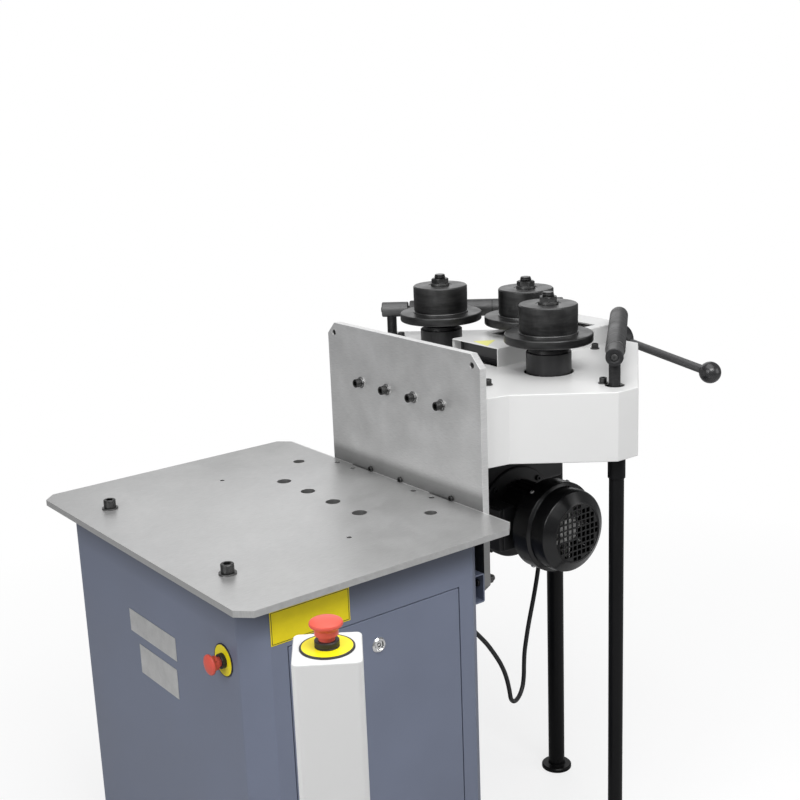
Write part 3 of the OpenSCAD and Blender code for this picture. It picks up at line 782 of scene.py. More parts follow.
@dataclass(frozen=True)
class Moulding:
    """Moulded plastic or rubber with a fine matt grain."""

    name: str
    colour: tuple[float, float, float]
    roughness: float = 0.45
    grain: float = 0.05
    scatter: float = 0.0
    mirror: float = 0.4

    def build(self) -> Material:
        """Makes the material.

        Returns:
            The material.
        """
        graph = Graph(self.name)
        graph.set(Roughness=self.roughness, Subsurface_Weight=self.scatter, Specular_IOR_Level=self.mirror)
        graph.set(Subsurface_Radius=(0.01, 0.004, 0.002), Subsurface_Scale=0.2)
        coords = graph.place()
        cloud = graph.noise(coords, 60.0, 3.0)
        dark = [part * 0.94 for part in self.colour]
        graph.set(Base_Color=graph.ramp(cloud, [(0.3, dark), (0.7, self.colour)]))
        return graph.bump(graph.noise(coords, 1800.0, 2.0), self.grain, 0.0001).material


@dataclass(frozen=True)
class Casting:
    """Painted cast metal with the rough skin of a sand mould."""

    name: str
    colour: tuple[float, float, float]
    roughness: float = 0.5

    def build(self) -> Material:
        """Makes the material.

        Returns:
            The material.
        """
        graph = Graph(self.name)
        coords = graph.place()
        cloud = graph.noise(coords, 12.0, 4.0)
        dark = [part * 0.75 for part in self.colour]
        graph.set(Base_Color=graph.ramp(cloud, [(0.3, dark), (0.7, self.colour)]))
        graph.set(Roughness=graph.between(cloud, 0.3, 0.7, self.roughness - 0.08, self.roughness + 0.1))
        return graph.bump(graph.noise(coords, 700.0, 3.0), 0.35, 0.0004).material


@dataclass(frozen=True)
class Polished:
    """Chrome plate."""

    name: str
    tone: float = 0.82
    roughness: float = 0.12

    def build(self) -> Material:
        """Makes the material.

        Returns:
            The material.
        """
        graph = Graph(self.name)
        graph.set(Metallic=1.0)
        coords = graph.place()
        haze = graph.noise(coords, 240.0, 3.0)
        graph.set(Base_Color=graph.ramp(haze, [(0.3, [self.tone * 0.95] * 3), (0.7, [self.tone] * 3)]))
        rough = graph.between(haze, 0.3, 0.7, self.roughness, self.roughness + 0.1)
        return graph.set(Roughness=rough).material


# --- palette


class Palette:
    """All finishes of the machine, made once."""

    def __init__(self) -> None:
        """Makes the materials."""
        # The cabinet's paint carries painted shade just under the table, from 735 to 812 mm.
        self.cabinet = Paint(
            "cabinet_paint", (0.150, 0.172, 0.238), 0.42, 0.10, 380.0, painted_shade_heights=(735.0, 812.0)
        ).build()
        self.white = Paint("white_powder", (0.69, 0.69, 0.685), 0.36, 0.10, 520.0, 0.015).build()
        self.table = GroundSteel("table_steel", 0.56, (60.0, 900.0, 60.0), 0.40, painted_light=PaintedLight.TABLE).build()
        self.plate = GroundSteel("plate_steel", 0.78, (60.0, 60.0, 900.0), 0.42, painted_light=PaintedLight.UPRIGHT).build()
        # Near-white steel for the table's hole chamfers, a painted highlight.
        self.rim = GroundSteel("chamfer_highlight_steel", 0.95, (60.0, 60.0, 300.0), 0.35).build()
        self.bore = GroundSteel("bored_steel", 0.34, (60.0, 60.0, 300.0), 0.35).build()
        self.bolt = TurnedSteel("black_bolt", 0.025, rubbed=0.05, roughness=0.36).build()
        self.washer = TurnedSteel("spring_washer", 0.10, rubbed=0.12, roughness=0.35).build()
        self.black = Paint("satin_black", (0.012, 0.012, 0.013), 0.38, 0.12, 600.0, 0.15).build()
        self.leg = Paint("leg_black", (0.006, 0.006, 0.0065), 0.34, 0.10, 500.0, 0.2, mirror=0.15).build()
        self.cowl = Paint("cowl_black", (0.004, 0.004, 0.0045), 0.25, 0.06, 700.0, 0.15, mirror=0.5).build()
        self.casting = Casting("motor_casting", (0.009, 0.009, 0.010)).build()
        self.inner = TurnedSteel("inner_steel", 0.06, rubbed=0.05, roughness=0.5).build()
        self.bright = Polished("bright_steel", 0.60, 0.22).build()
        self.bright_dark = Polished("rubbed_steel", 0.20, 0.30).build()
        self.chrome = Polished("lock_chrome").build()
        self.screw = Polished("screw_steel", 0.45, 0.28).build()
        self.lever = Moulding("lever_black", (0.058, 0.058, 0.06), 0.34, 0.0, mirror=0.8).build()
        self.ball = Moulding("ball_black", (0.02, 0.02, 0.021), 0.26, 0.0, mirror=0.7).build()
        self.guide = TurnedSteel("guide_steel", 0.055, rubbed=0.04, roughness=0.46).build()
        # Painted highlight: the fan is light grey so that its blades show bright through the cowl's mesh,
        # standing in for their reflections.
        self.fan = Moulding("fan_grey", (0.62, 0.62, 0.61), 0.5, 0.03).build()
        self.red = Moulding("stop_red", (0.66, 0.095, 0.065), 0.42, 0.05, 0.06).build()
        self.yellow = Moulding("stop_yellow", (0.87, 0.74, 0.012), 0.40, 0.03, mirror=0.25).build()
        self.sign = Moulding("sign_yellow", (0.80, 0.65, 0.012), 0.40, 0.02, mirror=0.2).build()
        self.patch = Moulding("patch_yellow", (0.80, 0.78, 0.26), 0.45, 0.02, mirror=0.2).build()
        self.sign_line = Moulding("sign_line", (0.025, 0.022, 0.015), 0.4, 0.02).build()
        self.collar = Moulding("collar_black", (0.02, 0.02, 0.02), 0.45, 0.05).build()
        self.window = Moulding("readout_window", (0.045, 0.045, 0.047), 0.30, 0.0).build()
        self.bezel = Moulding("readout_bezel", (0.02, 0.02, 0.022), 0.40, 0.05).build()
        self.rubber = Moulding("cable_rubber", (0.016, 0.016, 0.017), 0.50, 0.08).build()
        self.tag = GroundSteel("name_tag", 0.70, (600.0, 40.0, 40.0), 0.34).build()
        # Near-black used as painted shade inside holes.
        self.dark = Moulding("painted_shade_black", (0.006, 0.006, 0.006), 0.8, 0.0).build()


# --- cabinet


@dataclass
class Cabinet:
    """Sheet-metal control cabinet with its lift-off panel, lock, feet and signs."""

    palette: Palette
    chamfer: float = 40.0
    fold: float = 3.0
    plinth: float = 15.0
    panel_gap: float = 2.0
    sign_size: tuple[float, float] = (162.0, 62.0)
    tags: tuple[tuple[float, float, float, float], ...] = ((0.0, 186.0, 46.0, 0.0), (64.0, 150.0, 60.0, 4.0))
    body: str = "machine"

    def build(self) -> None:
        """Builds every piece of the cabinet."""
        self.shell()
        self.panel()
        self.lock()
        self.feet()
        self.signs()

    def shell(self) -> None:
        """Folded shell with rounded bends, a plinth and the panel's recess."""
        span, panel, gap = Span("cabinet"), Span("access_panel"), self.panel_gap
        low = span.low + Z_AXIS * 40.0
        outline = chamfered(span.size.x, span.size.y, self.chamfer)
        shell = Shape().prism(outline, span.high.z - low.z, Matrix.Translation(low))
        shell.round(self.fold, 4, 20.0, upright)
        shell.round(1.2, 2, 40.0, lambda edge: not upright(edge))
        start = (panel.low.x - gap, span.low.y - 5, panel.low.z - gap)
        shell.cut(Shape().box(start, (panel.high.x + gap, span.low.y + 14, panel.high.z + gap)))
        inset = self.plinth
        outline = chamfered(span.size.x - 2 * inset, span.size.y - 2 * inset, self.chamfer - 10)
        foot = Vector((span.low.x + inset, span.low.y + inset, Span("cabinet_feet").high.z))
        base = Shape().prism(outline, 40.5, Matrix.Translation(foot))
        base.round(self.fold, 3, 20.0, upright)
        shell.add(base)
        shell.finish("cabinet_shell", self.body, [self.palette.cabinet], ["cabinet"], "cabinet_paint")

    def panel(self) -> None:
        """Lift-off panel, flush in its recess, with softly folded edges."""
        span, lock = Span("access_panel"), Span("panel_lock")
        panel = Shape().box(span.low, span.high)
        panel.round(3.0, 3, 30.0, lambda edge: abs((edge.verts[1].co - edge.verts[0].co).y) > 1)
        panel.round(1.0, 3, 60.0)
        x, z = lock.middle.x, lock.middle.z
        start, end = Vector((x, span.low.y - 5, z)), Vector((x, span.high.y + 5, z))
        panel.cut(Shape().rod(start, end, lock.size.x / 2 - 2.5))
        panel.finish("lift_off_panel", self.body, [self.palette.cabinet], ["access_panel"], "cabinet_paint")

    def lock(self) -> None:
        """Quarter-turn lock: chamfered ring, sunk barrel and a two-winged key pin."""
        span = Span("panel_lock")
        radius, face = span.size.x / 2, span.size.y - 3.5
        foot = Vector((span.middle.x, span.high.y, span.middle.z))
        profile = [(0, 2), (radius - 3, 2), (radius - 3, face), (radius, face), (radius, face + 1.0)]
        profile += [(radius - 2.4, face + 3.4), (radius - 4.6, face + 3.4), (radius - 5.4, face + 2.4)]
        profile += [
            (9.2, face + 2.0), (8.4, face - 2.0), (7.6, face - 2.0), (7.2, face + 0.6), (0, face + 0.6)
        ]
        keyhole = [(0, face - 6), (4.6, face - 6), (4.6, face + 4), (0, face + 4)]
        lock = Shape().turned(profile, foot, -Y_AXIS, 48)
        lock.cut(Shape().turned(keyhole, foot, -Y_AXIS, 32))
        pin = Shape().rod(foot - Y_AXIS * (face - 7), foot - Y_AXIS * (face + 0.4), 2.6, sides=24)
        wing = foot - Y_AXIS * (face - 3)
        pin.box(wing + Vector((-4.0, -2.5, -0.8)), wing + Vector((4.0, 2.5, 0.8)))
        lock.add(pin)
        lock.finish("quarter_turn_lock", self.body, [self.palette.chrome], ["panel_lock"], "lock_chrome")

    def feet(self) -> None:
        """Levelling feet: a ribbed pad, a lock nut and a threaded stem."""
        span, pad, feet = Span("cabinet_feet"), 30.0, Shape()
        profile = [(0, 0), (pad, 0), (pad, 5), (pad - 3, 8), (14, 12), (12, 14), (0, 14)]
        for x in (span.low.x + pad, span.high.x - pad):
            for y in (span.low.y + pad, span.high.y - pad):
                foot = Vector((x, y, 0.0))
                feet.turned(profile, foot, Z_AXIS, 40)
                feet.rod(foot + Z_AXIS * 13.5, foot + Z_AXIS * span.high.z, 8.0, sides=24)
                feet.rod(foot + Z_AXIS * 14, foot + Z_AXIS * 22, 13.8, sides=6)
        feet.round(0.8, 2, 40.0)
        feet.finish("levelling_feet", self.body, [self.palette.black], ["cabinet_feet"], "black_bolts")

    def signs(self) -> None:
        """Bare yellow sign with a thin dark border, and two bare maker's tags."""
        span, table = Span("cabinet"), Span("table_plate")
        wide, tall = self.sign_size
        low = Vector((table.low.x + 77.0, span.low.y, table.high.z - 94.0))
        sign = Shape().box(low + Vector((0, -0.8, 0)), low + Vector((wide, 0.0, tall)))
        sign.round(0.3, 2, 40.0)
        edge, line = 2.0, 1.1
        right, top = wide - edge, tall - edge
        across = [(edge, right, z, z + line) for z in (edge, top - line)]
        for x0, x1, z0, z1 in across + [(x, x + line, edge, top) for x in (edge, right - line)]:
            sign.box(low + Vector((x0, -1.0, z0)), low + Vector((x1, -0.6, z1)), 1)
        sign.finish("side_sign", self.body, [self.palette.sign, self.palette.sign_line])
        top, start, x = table.high.z - 158.0, table.low.y + 310.0, span.low.x
        tags = Shape()
        for drop, length, height, move in self.tags:
            tags.box((x - 1.0, start + move, top - drop - height), (x, start + move + length, top - drop))
        tags.round(0.4, 2, 40.0)
        tags.finish("bare_tags", self.body, [self.palette.tag])


# --- table and upright plate


@dataclass
class SocketScrew:
    """Socket head cap screw with a washer, and a split spring washer if it has one."""

    head_radius: float
    head_height: float
    key: float
    washer_radius: float = 0.0
    washer_height: float = 2.0
    spring_radius: float = 0.0
    spring_height: float = 3.0

    def shape(self, seat: Vector, out: Vector, shank: float = 4.0) -> Shape:
        """Makes the screw.

        Args:
            seat: Point on the face that it is screwed to.
            out: Direction that the head points to.
            shank: Length of the shank under the face.

        Returns:
            The screw, with washers in slot 1.
        """
        level, screw = 0.0, Shape()
        if self.washer_radius:
            radius, level = self.washer_radius, self.washer_height
            washer = [(0, 0), (radius, 0), (radius, level - 0.4), (radius - 0.4, level), (0, level)]
            screw.turned(washer, seat, out, 48, 1)
        if self.spring_radius:
            screw.add(self.spring(seat + out * level, out))
            level += self.spring_height
        radius, height, foot = self.head_radius, self.head_height, -shank - level
        profile = [(0, foot), (radius * 0.66, foot), (radius * 0.66, 0), (radius - 0.5, 0)]
        profile += [(radius, 0.5), (radius, height - 1.2), (radius - 0.9, height), (0, height)]
        head = Shape().turned(profile, seat + out * level, out, 48)
        top = seat + out * (level + height)
        corner = self.key / 2 / HEX_SHARE
        head.cut(Shape().rod(top - out * height * 0.62, top + out * 2, corner, sides=6))
        head.round(0.35, 2, 40.0)
        return screw.add(head)

    def spring(self, foot: Vector, out: Vector) -> Shape:
        """Split spring washer, one coil with a gap and a small step.

        Args:
            foot: Middle of its lower face.
            out: Direction of its axis.

        Returns:
            The washer, in slot 1.
        """
        part = bmesh.new()
        inner, outer, thick = self.head_radius * 0.7, self.spring_radius, self.spring_height * 0.78
        corners = [(inner, 0.0), (outer, 0.0), (outer, thick), (inner, thick)]
        face = part.faces.new([part.verts.new((r, 0.0, z)) for r, z in corners])
        step, turn = (0, 0, self.spring_height * 0.2 / 40), math.radians(346)
        bmesh.ops.spin(part, geom=[face], cent=(0, 0, 0), axis=(0, 0, 1), dvec=step, angle=turn, steps=40)
        bmesh.ops.recalc_face_normals(part, faces=part.faces)
        frame_at = facing(foot, out, X_AXIS if abs(out.z) > 0.9 else Z_AXIS)
        bmesh.ops.transform(part, matrix=frame_at, verts=part.verts)
        return Shape()._take(part, 1)


@dataclass
class Table:
    """Ground steel table plate with its holes and clamping screws."""

    palette: Palette
    chamfer: float = 25.0
    edge: float = 1.0
    tooling_radius: float = 15.0
    tooling_pitch: float = 90.0
    locate_radius: float = 12.5
    locate_reach: float = 231.0
    stop_radius: float = 5.0
    screw_reach: float = 232.0
    fence_radius: float = 6.0
    body: str = "machine"

    def __post_init__(self) -> None:
        """Reads the plate's box and places its holes, as x from its edge, y and radius."""
        self.span = Span("table_plate")
        wide, middle, pitch = self.span.size.x, self.span.middle.y, self.tooling_pitch
        self.holes = [(wide - 175.0, middle + step * pitch, self.tooling_radius) for step in FOUR_STEPS]
        for side in SIDES:
            self.holes.append((wide - 75.0, middle + side * self.locate_reach, self.locate_radius))
            self.holes.append((wide - 268.0, middle + side * self.screw_reach, self.stop_radius))
            self.holes.append((75.0, middle + side * self.screw_reach, 8.5))
        self.holes += [(wide - 17.0, middle + step, self.fence_radius) for step in (-162, -103, 108, 166)]

    def build(self) -> None:
        """Builds the plate and its screws."""
        span, low = self.span, self.span.low
        outline = chamfered(span.size.x, span.size.y, self.chamfer)
        plate = Shape().prism(outline, span.size.z, Matrix.Translation(low))
        head = Span("upright_plate").middle.y
        for offset in (-152.0, 115.0):
            start = (span.high.x - 4.0, head + offset, low.z - 5)
            plate.cut(Shape().box(start, (span.high.x + 5.0, head + offset + 66.0, span.high.z + 5)))
        for x, y, radius in self.holes:
            plate.drill(Vector((low.x + x, y, low.z - 5)), Vector((low.x + x, y, span.high.z + 5)), radius)
        plate.round(self.edge, 2, 40.0)
        # Hole chamfers take a near-white steel as a painted highlight; hole walls take a darker steel.
        for x, y, radius in self.holes:
            at = Vector((low.x + x, y))
            reach = {face: (face.calc_center_median().xy - at).length for face in plate.bm.faces}
            plate.mark(lambda face: reach[face] < radius + 1.2 and abs(face.normal.z) < 0.97, 2)
            plate.mark(lambda face: reach[face] < radius + 0.05 and abs(face.normal.z) < 0.3, 1)
        finishes = [self.palette.table, self.palette.bore, self.palette.rim]
        plate.finish("ground_table", self.body, finishes, ["table_plate"], "ground_steel")
        self.screws()
        self.hole_painted_shade()

    def screws(self) -> None:
        """Two clamping screws with washers, near the operator's edge."""
        screw = SocketScrew(12.0, 16.0, 13.6, washer_radius=16.0, washer_height=3.0)
        made, low = Shape(), self.span.low
        for side in SIDES:
            y = self.span.middle.y + side * self.screw_reach
            made.add(screw.shape(Vector((low.x + 75.0, y, self.span.high.z)), Z_AXIS, 30.0))
        made.finish("clamping_screws", self.body, [self.palette.bolt] * 2, ["table_bolts"], "black_bolts")

    def hole_painted_shade(self) -> None:
        """Painted shade: near-black discs at the foot of the holes over the cabinet stand in for the shade
        inside them.
        """
        floors, low = Shape(), self.span.low
        for x, y, radius in self.holes:
            if 100.0 < x < self.span.size.x - 40.0:
                at = Vector((low.x + x, y, low.z))
                floors.rod(at + Z_AXIS * 0.1, at + Z_AXIS * 0.6, radius, sides=32)
        floors.finish("hole_painted_shade", self.body, [self.palette.dark])


@dataclass
class UprightPlate:
    """Upright plate that carries the head, with its rail, screws and bolts."""

    palette: Palette
    chamfer: float = 25.0
    edge: float = 1.0
    screw_pitch: float = 89.0
    bolt_pitch: float = 156.0
    corner_inset: tuple[float, float] = (23.0, 22.0)
    low_screws: tuple[float, float, float] = (-156.0, 9.0, 112.0)
    body: str = "machine"

    def __post_init__(self) -> None:
        """Reads the plate's box."""
        self.span = Span("upright_plate")

    def build(self) -> None:
        """Builds every piece of the upright plate."""
        span = self.span
        outline = chamfered(span.size.y, span.size.z, self.chamfer)
        plate = Shape().prism(outline, span.size.x, facing(span.low, X_AXIS))
        across, down = self.corner_inset
        x, y, z = span.low.x, span.middle.y, span.high.z - down
        places = [Vector((x, y + side * (span.size.y / 2 - across), z)) for side in SIDES]
        for at in places:
            plate.drill(at - X_AXIS * 5, at + X_AXIS * 20, 6.0, 40)
        plate.round(self.edge, 2, 40.0)
        # Painted shade: a near-black filler inside each corner hole stands in for the shade in the hole.
        for at in places:
            start = at + X_AXIS * 3.0
            plate.rod(start, start + X_AXIS * 11.0, 6.05, sides=40, slot=1)
        finishes = [self.palette.plate, self.palette.dark]
        plate.finish("upright_steel", self.body, finishes, ["upright_plate"], "ground_steel")
        self.screws()
        self.rail()
        self.bolts()

    def screws(self) -> None:
        """Row of head screws with washers and spring washers, and low screws by the table."""
        height = Span("table_plate").high.z
        x, centre = self.span.low.x, self.span.middle.y
        big = SocketScrew(9.0, 12.0, 10.0, 12.0, 2.0, 10.0, 3.0)
        small = SocketScrew(6.5, 5.0, 5.0)
        made = Shape()
        for step in FOUR_STEPS:
            made.add(big.shape(Vector((x, centre + step * self.screw_pitch, height + 191.0)), -X_AXIS, 8.0))
        for step in self.low_screws:
            made.add(small.shape(Vector((x, centre + step, height + 4.0)), -X_AXIS, 3.0))
        finishes = [self.palette.bolt, self.palette.washer]
        made.finish("head_screws", self.body, finishes, ["upright_screws"], "black_bolts")

    def rail(self) -> None:
        """Open rectangular tube with rounded folds between cabinet and plate."""
        span = Span("upright_rail")
        wall = 3.0
        rail = Shape().box(span.low, span.high).round(4.0, 4, 40.0, along_y)
        hollow = Shape().box(span.low + Vector((wall, -5, wall)), span.high - Vector((wall, -5, wall)))
        hollow.round(2.0, 3, 40.0, along_y)
        rail.cut(hollow)
        rail.round(0.4, 2, 60.0)
        rail.finish("open_rail", self.body, [self.palette.cabinet], ["upright_rail"], "cabinet_paint")

    def bolts(self) -> None:
        """Hexagon bolts behind the plate, on the rail."""
        made = Shape()
        z = Span("rail_bolts").middle.z
        for step in FOUR_STEPS:
            seat = Vector((self.span.high.x, self.span.middle.y + step * self.bolt_pitch, z))
            made.rod(seat, seat + X_AXIS * 2, 12.0)
            made.rod(seat + X_AXIS * 2, seat + X_AXIS * 13, 19.0 / 2 / HEX_SHARE, sides=6)
            made.turned([(0, -24), (7, -24), (7, 18), (5.6, 20.6), (3, 22), (0, 22)], seat, X_AXIS, 32)
        made.round(0.6, 2, 40.0)
        made.finish("rail_hex_bolts", self.body, [self.palette.bolt], ["rail_bolts"], "black_bolts")


# --- stop switches


@dataclass
class StopSwitch:
    """Stop switch: yellow ring with a dark rim, black collar and red mushroom button."""

    palette: Palette
    base: str
    button: str
    button_body: str
    out: Vector
    ring_radius: float = 30.0

    def build(self) -> None:
        """Builds the ring with its collar, and the button."""
        span, radius = Span(self.base), self.ring_radius
        seat = span.middle - self.out * (abs(span.size.dot(self.out)) / 2)
        edge, bore = radius - 2.2, 9.05
        rim = [(bore, 0), (radius, 0), (radius, 1.4), (radius - 0.5, 2.0), (edge, 2.0), (edge, 1.9)]
        ring = Shape().turned(rim, seat, self.out, 96, 1)
        ring.turned([(radius - 2.1, 1.0), (radius - 2.1, 1.95), (bore, 1.95)], seat, self.out, 96, 0)
        collar = [(bore, 1.8), (13.5, 1.8), (13.5, 3.0), (12.9, 3.4), (12.9, 4.4), (13.5, 4.8)]
        collar += [(13.5, 9.0), (12.8, 9.7), (bore, 9.7), (bore, 1.8)]
        ring.turned(collar, seat, self.out, 64, 1)
        finishes = [self.palette.yellow, self.palette.collar]
        ring.finish(self.base + "_ring", "machine", finishes, [self.base], "stop_yellow")
        self.mushroom(seat)

    def mushroom(self, seat: Vector) -> None:
        """Red button: round stem, flared skirt and a low dome with a turned rim.

        Args:
            seat: Middle of the ring's foot.
        """
        profile = [(0, 4.5), (9, 4.5), (9, 15.5), (12.7, 15.5), (13.0, 15.9), (13.0, 21.5)]
        profile += [(13.6, 22.8), (16.4, 25.0), (17.9, 26.2), (18.4, 27.2), (18.4, 28.6)]
        profile += arc((0.0, 28.9), 18.4, 4.8, range(15, 90, 15))
        button = Shape().turned([*profile, (0, 28.9 + 4.8)], seat, self.out, 72)
        button.finish(self.button + "_cap", self.button_body, [self.palette.red], [self.button], "stop_red")


@dataclass
class ControlPost:
    """Free-standing post with rounded edges and a foot plate."""

    palette: Palette
    side: float = 75.0
    turn: float = -35.0
    radius: float = 7.0
    body: str = "machine"

    def build(self) -> None:
        """Builds the post."""
        span = Span("control_post")
        turn = Matrix.Rotation(math.radians(self.turn), 4, "Z")
        place = Matrix.Translation((span.middle.x, span.middle.y, 0)) @ turn
        half = self.side / 2
        post = Shape().box((-half, -half, 8.0), (half, half, span.high.z))
        post.round(self.radius, 6, 40.0, upright)
        post.round(2.5, 4, 60.0, lambda edge: edge.verts[0].co.z > 100)
        plate = Shape().box((-85, -85, 0), (85, 85, 8))
        plate.round(20.0, 8, 40.0, upright)
        plate.round(0.8, 2, 60.0)
        for sx in SIDES:
            for sy in SIDES:
                at = Vector((sx * 65, sy * 65, 0))
                plate.drill(at - Z_AXIS * 3, at + Z_AXIS * 12, 4.5, 24)
        post.add(plate).move(place)
        post.finish("stop_post", self.body, [self.palette.white], ["control_post"], "white_paint")


# --- bending head


def machine_point(x: float, y: float, z: float) -> Vector:
    """Point counted from the table's low corner, with its height from the floor."""
    low = Span("table_plate").low
    return Vector((low.x + x, low.y + y, z))


@dataclass
class HeadCover:
    """White sheet-metal cover with the raised slide housing, its screws and readout."""

    palette: Palette
    sheet: float = 3.0
    fold: float = 3.5
    body: str = "machine"
    half_widths: tuple[tuple[float, float], ...] = (
        (0.0, 250.0), (59.0, 260.0), (220.0, 394.0), (276.0, 394.0), (574.0, 121.0)
    )
    raised_start: float = 198.0
    raised_half: float = 74.0
    raised_cut: float = 10.0
    raised_height: float = 41.0
    window_lip: float = 0.4
    window_rim: float = 1.8
    travel: float = 106.0
    screw_places: tuple[tuple[float, float], ...] = (
        (85, -171), (85, 171), (251, -324), (251, 324), (465, -94), (465, 94)
    )

    def __post_init__(self) -> None:
        """Reads the places that everything on the cover is counted from."""
        self.plate = Span("upright_plate")
        self.span = Span("head_cover")
        self.low = self.span.low.z
        self.top = self.span.high.z - self.raised_height
        self.axis = Span("press_flange").middle.y
        self.screw_z = Span("press_screw").middle.z
        self.end = self.half_widths[-1][0]
        signs = {"near": -1, "far": 1}
        self.posts = {side: self.at(256.0, 8.0 + sign * 358.0, 0.0) for side, sign in signs.items()}
        self.driven = [Span(node).middle for node in ("near_flange", "far_flange")]

    def at(self, x: float, y: float, z: float) -> Vector:
        """Point counted from the plate's far face and the head's middle line."""
        return Vector((self.plate.high.x + x, self.axis + y, z))

    def build(self) -> None:
        """Builds the cover, its inside, screws and readout."""
        self.shell()
        self.inside()
        self.screws()
        self.readout()
        self.label()

    def outline(self, inset: float) -> list[tuple[float, float]]:
        """Outline of the cover.

        Args:
            inset: How far it is drawn in from the cover's edge.

        Returns:
            The corners, counter-clockwise.
        """
        slant = inset * 0.4
        steps = [
            (x + (inset if i == 0 else -inset if i == 4 else slant if i < 3 else -slant), half - inset)
            for i, (x, half) in enumerate(self.half_widths)
        ]
        x0, y0 = self.plate.high.x, self.axis
        near = [(x0 + x, y0 - half) for x, half in steps]
        return near + [(x0 + x, y0 + half) for x, half in reversed(steps)]

    def raised(self, inset: float) -> list[tuple[float, float]]:
        """Outline of the raised housing.

        Args:
            inset: How far it is drawn in from the housing's edge.

        Returns:
            The corners, counter-clockwise.
        """
        end, half, cut = self.end, self.raised_half - inset, self.raised_cut
        x0, y0 = self.plate.high.x, self.axis
        near = [(self.raised_start + inset, -half), (end - cut - inset * 0.4, -half)]
        near.append((end - inset, cut - inset * 0.6 - half))
        return [(x0 + x, y0 + y) for x, y in near + [(x, -y) for x, y in reversed(near)]]

    def pierce(self, skin: Shape, at: Vector, radius: float, sides: int) -> None:
        """Cuts a round hole through the cover's top."""
        skin.drill(Vector((at.x, at.y, self.top - 8)), Vector((at.x, at.y, self.top + 8)), radius, sides)

    def shell(self) -> None:
        """Outer skin with folded edges, hollow below, pierced for spindles and screws."""
        low, top, sheet, rise = self.low, self.top, self.sheet, self.raised_height
        skin = slab(self.outline(0), low, top - low)
        skin.fuse(slab(self.raised(0), top - 2, rise + 2))
        skin.round(self.fold, 4, 15.0)
        hollow = slab(self.outline(sheet), low - 5, top - low - sheet + 5)
        skin.cut(hollow.fuse(slab(self.raised(sheet), top - sheet - 1, rise + 1)))
        housing = Span("shaft_housings").size.x / 2
        bore, press = housing + 4.5, Span("press_flange").middle.x
        for at in self.driven:
            self.pierce(skin, at, bore, 96)
        start = (press - housing - 9, self.axis - bore, top - 8)
        skin.cut(Shape().box(start, (press + housing + 9 + self.travel, self.axis + bore, top + 60)))
        for x, y in self.screw_places:
            self.pierce(skin, self.at(x, y, 0), 5.3, 32)
        for at in self.posts.values():
            self.pierce(skin, at, 19.5, 64)
        skin.cut(Shape().box(self.at(-5, -238, low - 5), self.at(sheet + 1, 238, top - 8)))
        skin.drill(self.at(self.end - 10, 0, self.screw_z), self.at(self.end + 10, 0, self.screw_z), 23.5, 64)
        start, half, rim = self.raised_start, self.raised_half, self.window_rim
        low_corner = self.at(start - 5, -half + rim, top + self.window_lip)
        skin.cut(Shape().box(low_corner, self.at(start + sheet + 1, half - rim, top + rise - rim)))
        skin.finish("white_cover", self.body, [self.palette.white], ["head_cover"], "white_paint", 26.0)

    def inside(self) -> None:
        """Inner frame: floor plate, back plate, slide rails and end block."""
        floor = self.low + 2.0
        plate = slab(self.outline(3.5), floor, 12.0)
        for at in self.posts.values():
            plate.drill(at + Z_AXIS * (floor - 3), at + Z_AXIS * (floor + 20), 11.6)
        plate.box(self.at(0.5, -234, floor + 11), self.at(12.5, 234, self.screw_z + 14))
        plate.box(self.at(551.0, -60, floor + 11), self.at(570.5, 60, self.top - 4))
        for low, high in ((-79.7, -60.3), (60.3, 79.7)):
            plate.box(self.at(288.0, low, floor + 11), self.at(512.0, high, floor + 26))
        bearing = [(0, 0), (33, 0), (35, 2), (35, 14), (33, 16), (29, 16), (29, 34.5), (0, 34.5)]
        for at in self.driven:
            plate.turned(bearing, Vector((at.x, at.y, self.low - 32)))
        plate.round(0.6, 2, 50.0)
        plate.finish("inner_frame", self.body, [self.palette.inner], ["head_base"], "inner_steel")

    def screws(self) -> None:
        """Socket screws with washers on the cover's top."""
        screw = SocketScrew(7.5, 10.0, 8.5, washer_radius=10.0, washer_height=2.0)
        made = Shape()
        for x, y in self.screw_places:
            made.add(screw.shape(self.at(x, y, self.top), Z_AXIS, 12.0))
        finishes = [self.palette.bolt, self.palette.bolt]
        made.finish("cover_socket_screws", self.body, finishes, ["cover_screws"], "black_bolts")

    def readout(self) -> None:
        """Position readout behind the housing's window: bezel and dark screen."""
        span = Span("readout")
        case = Shape().box(span.low, span.high)
        low = span.low + Vector((-2, 7, 11))
        high = Vector((span.low.x + 2.5, span.high.y - 7, span.high.z - 6))
        case.cut(Shape().box(low, high)).round(0.7, 2, 50.0)
        edge = Vector((0.0, 0.5, 0.5))
        case.box(low - edge + X_AXIS * 4.1, high + edge + X_AXIS * 0.1, 1)
        finishes = [self.palette.bezel, self.palette.window]
        case.finish("position_readout", self.body, finishes, ["readout"], "readout_black")

    def label(self) -> None:
        """Bare pale yellow triangle on the raised housing, behind the readout."""
        at = self.at(self.raised_start, 0.0, self.top + self.raised_height)
        mark = Shape().prism([(12.3, 16.9), (0.9, -41.4), (51.8, -8.3)], 0.4, Matrix.Translation(at))
        mark.round(0.15, 1, 40.0)
        mark.finish("hazard_patch", self.body, [self.palette.patch])


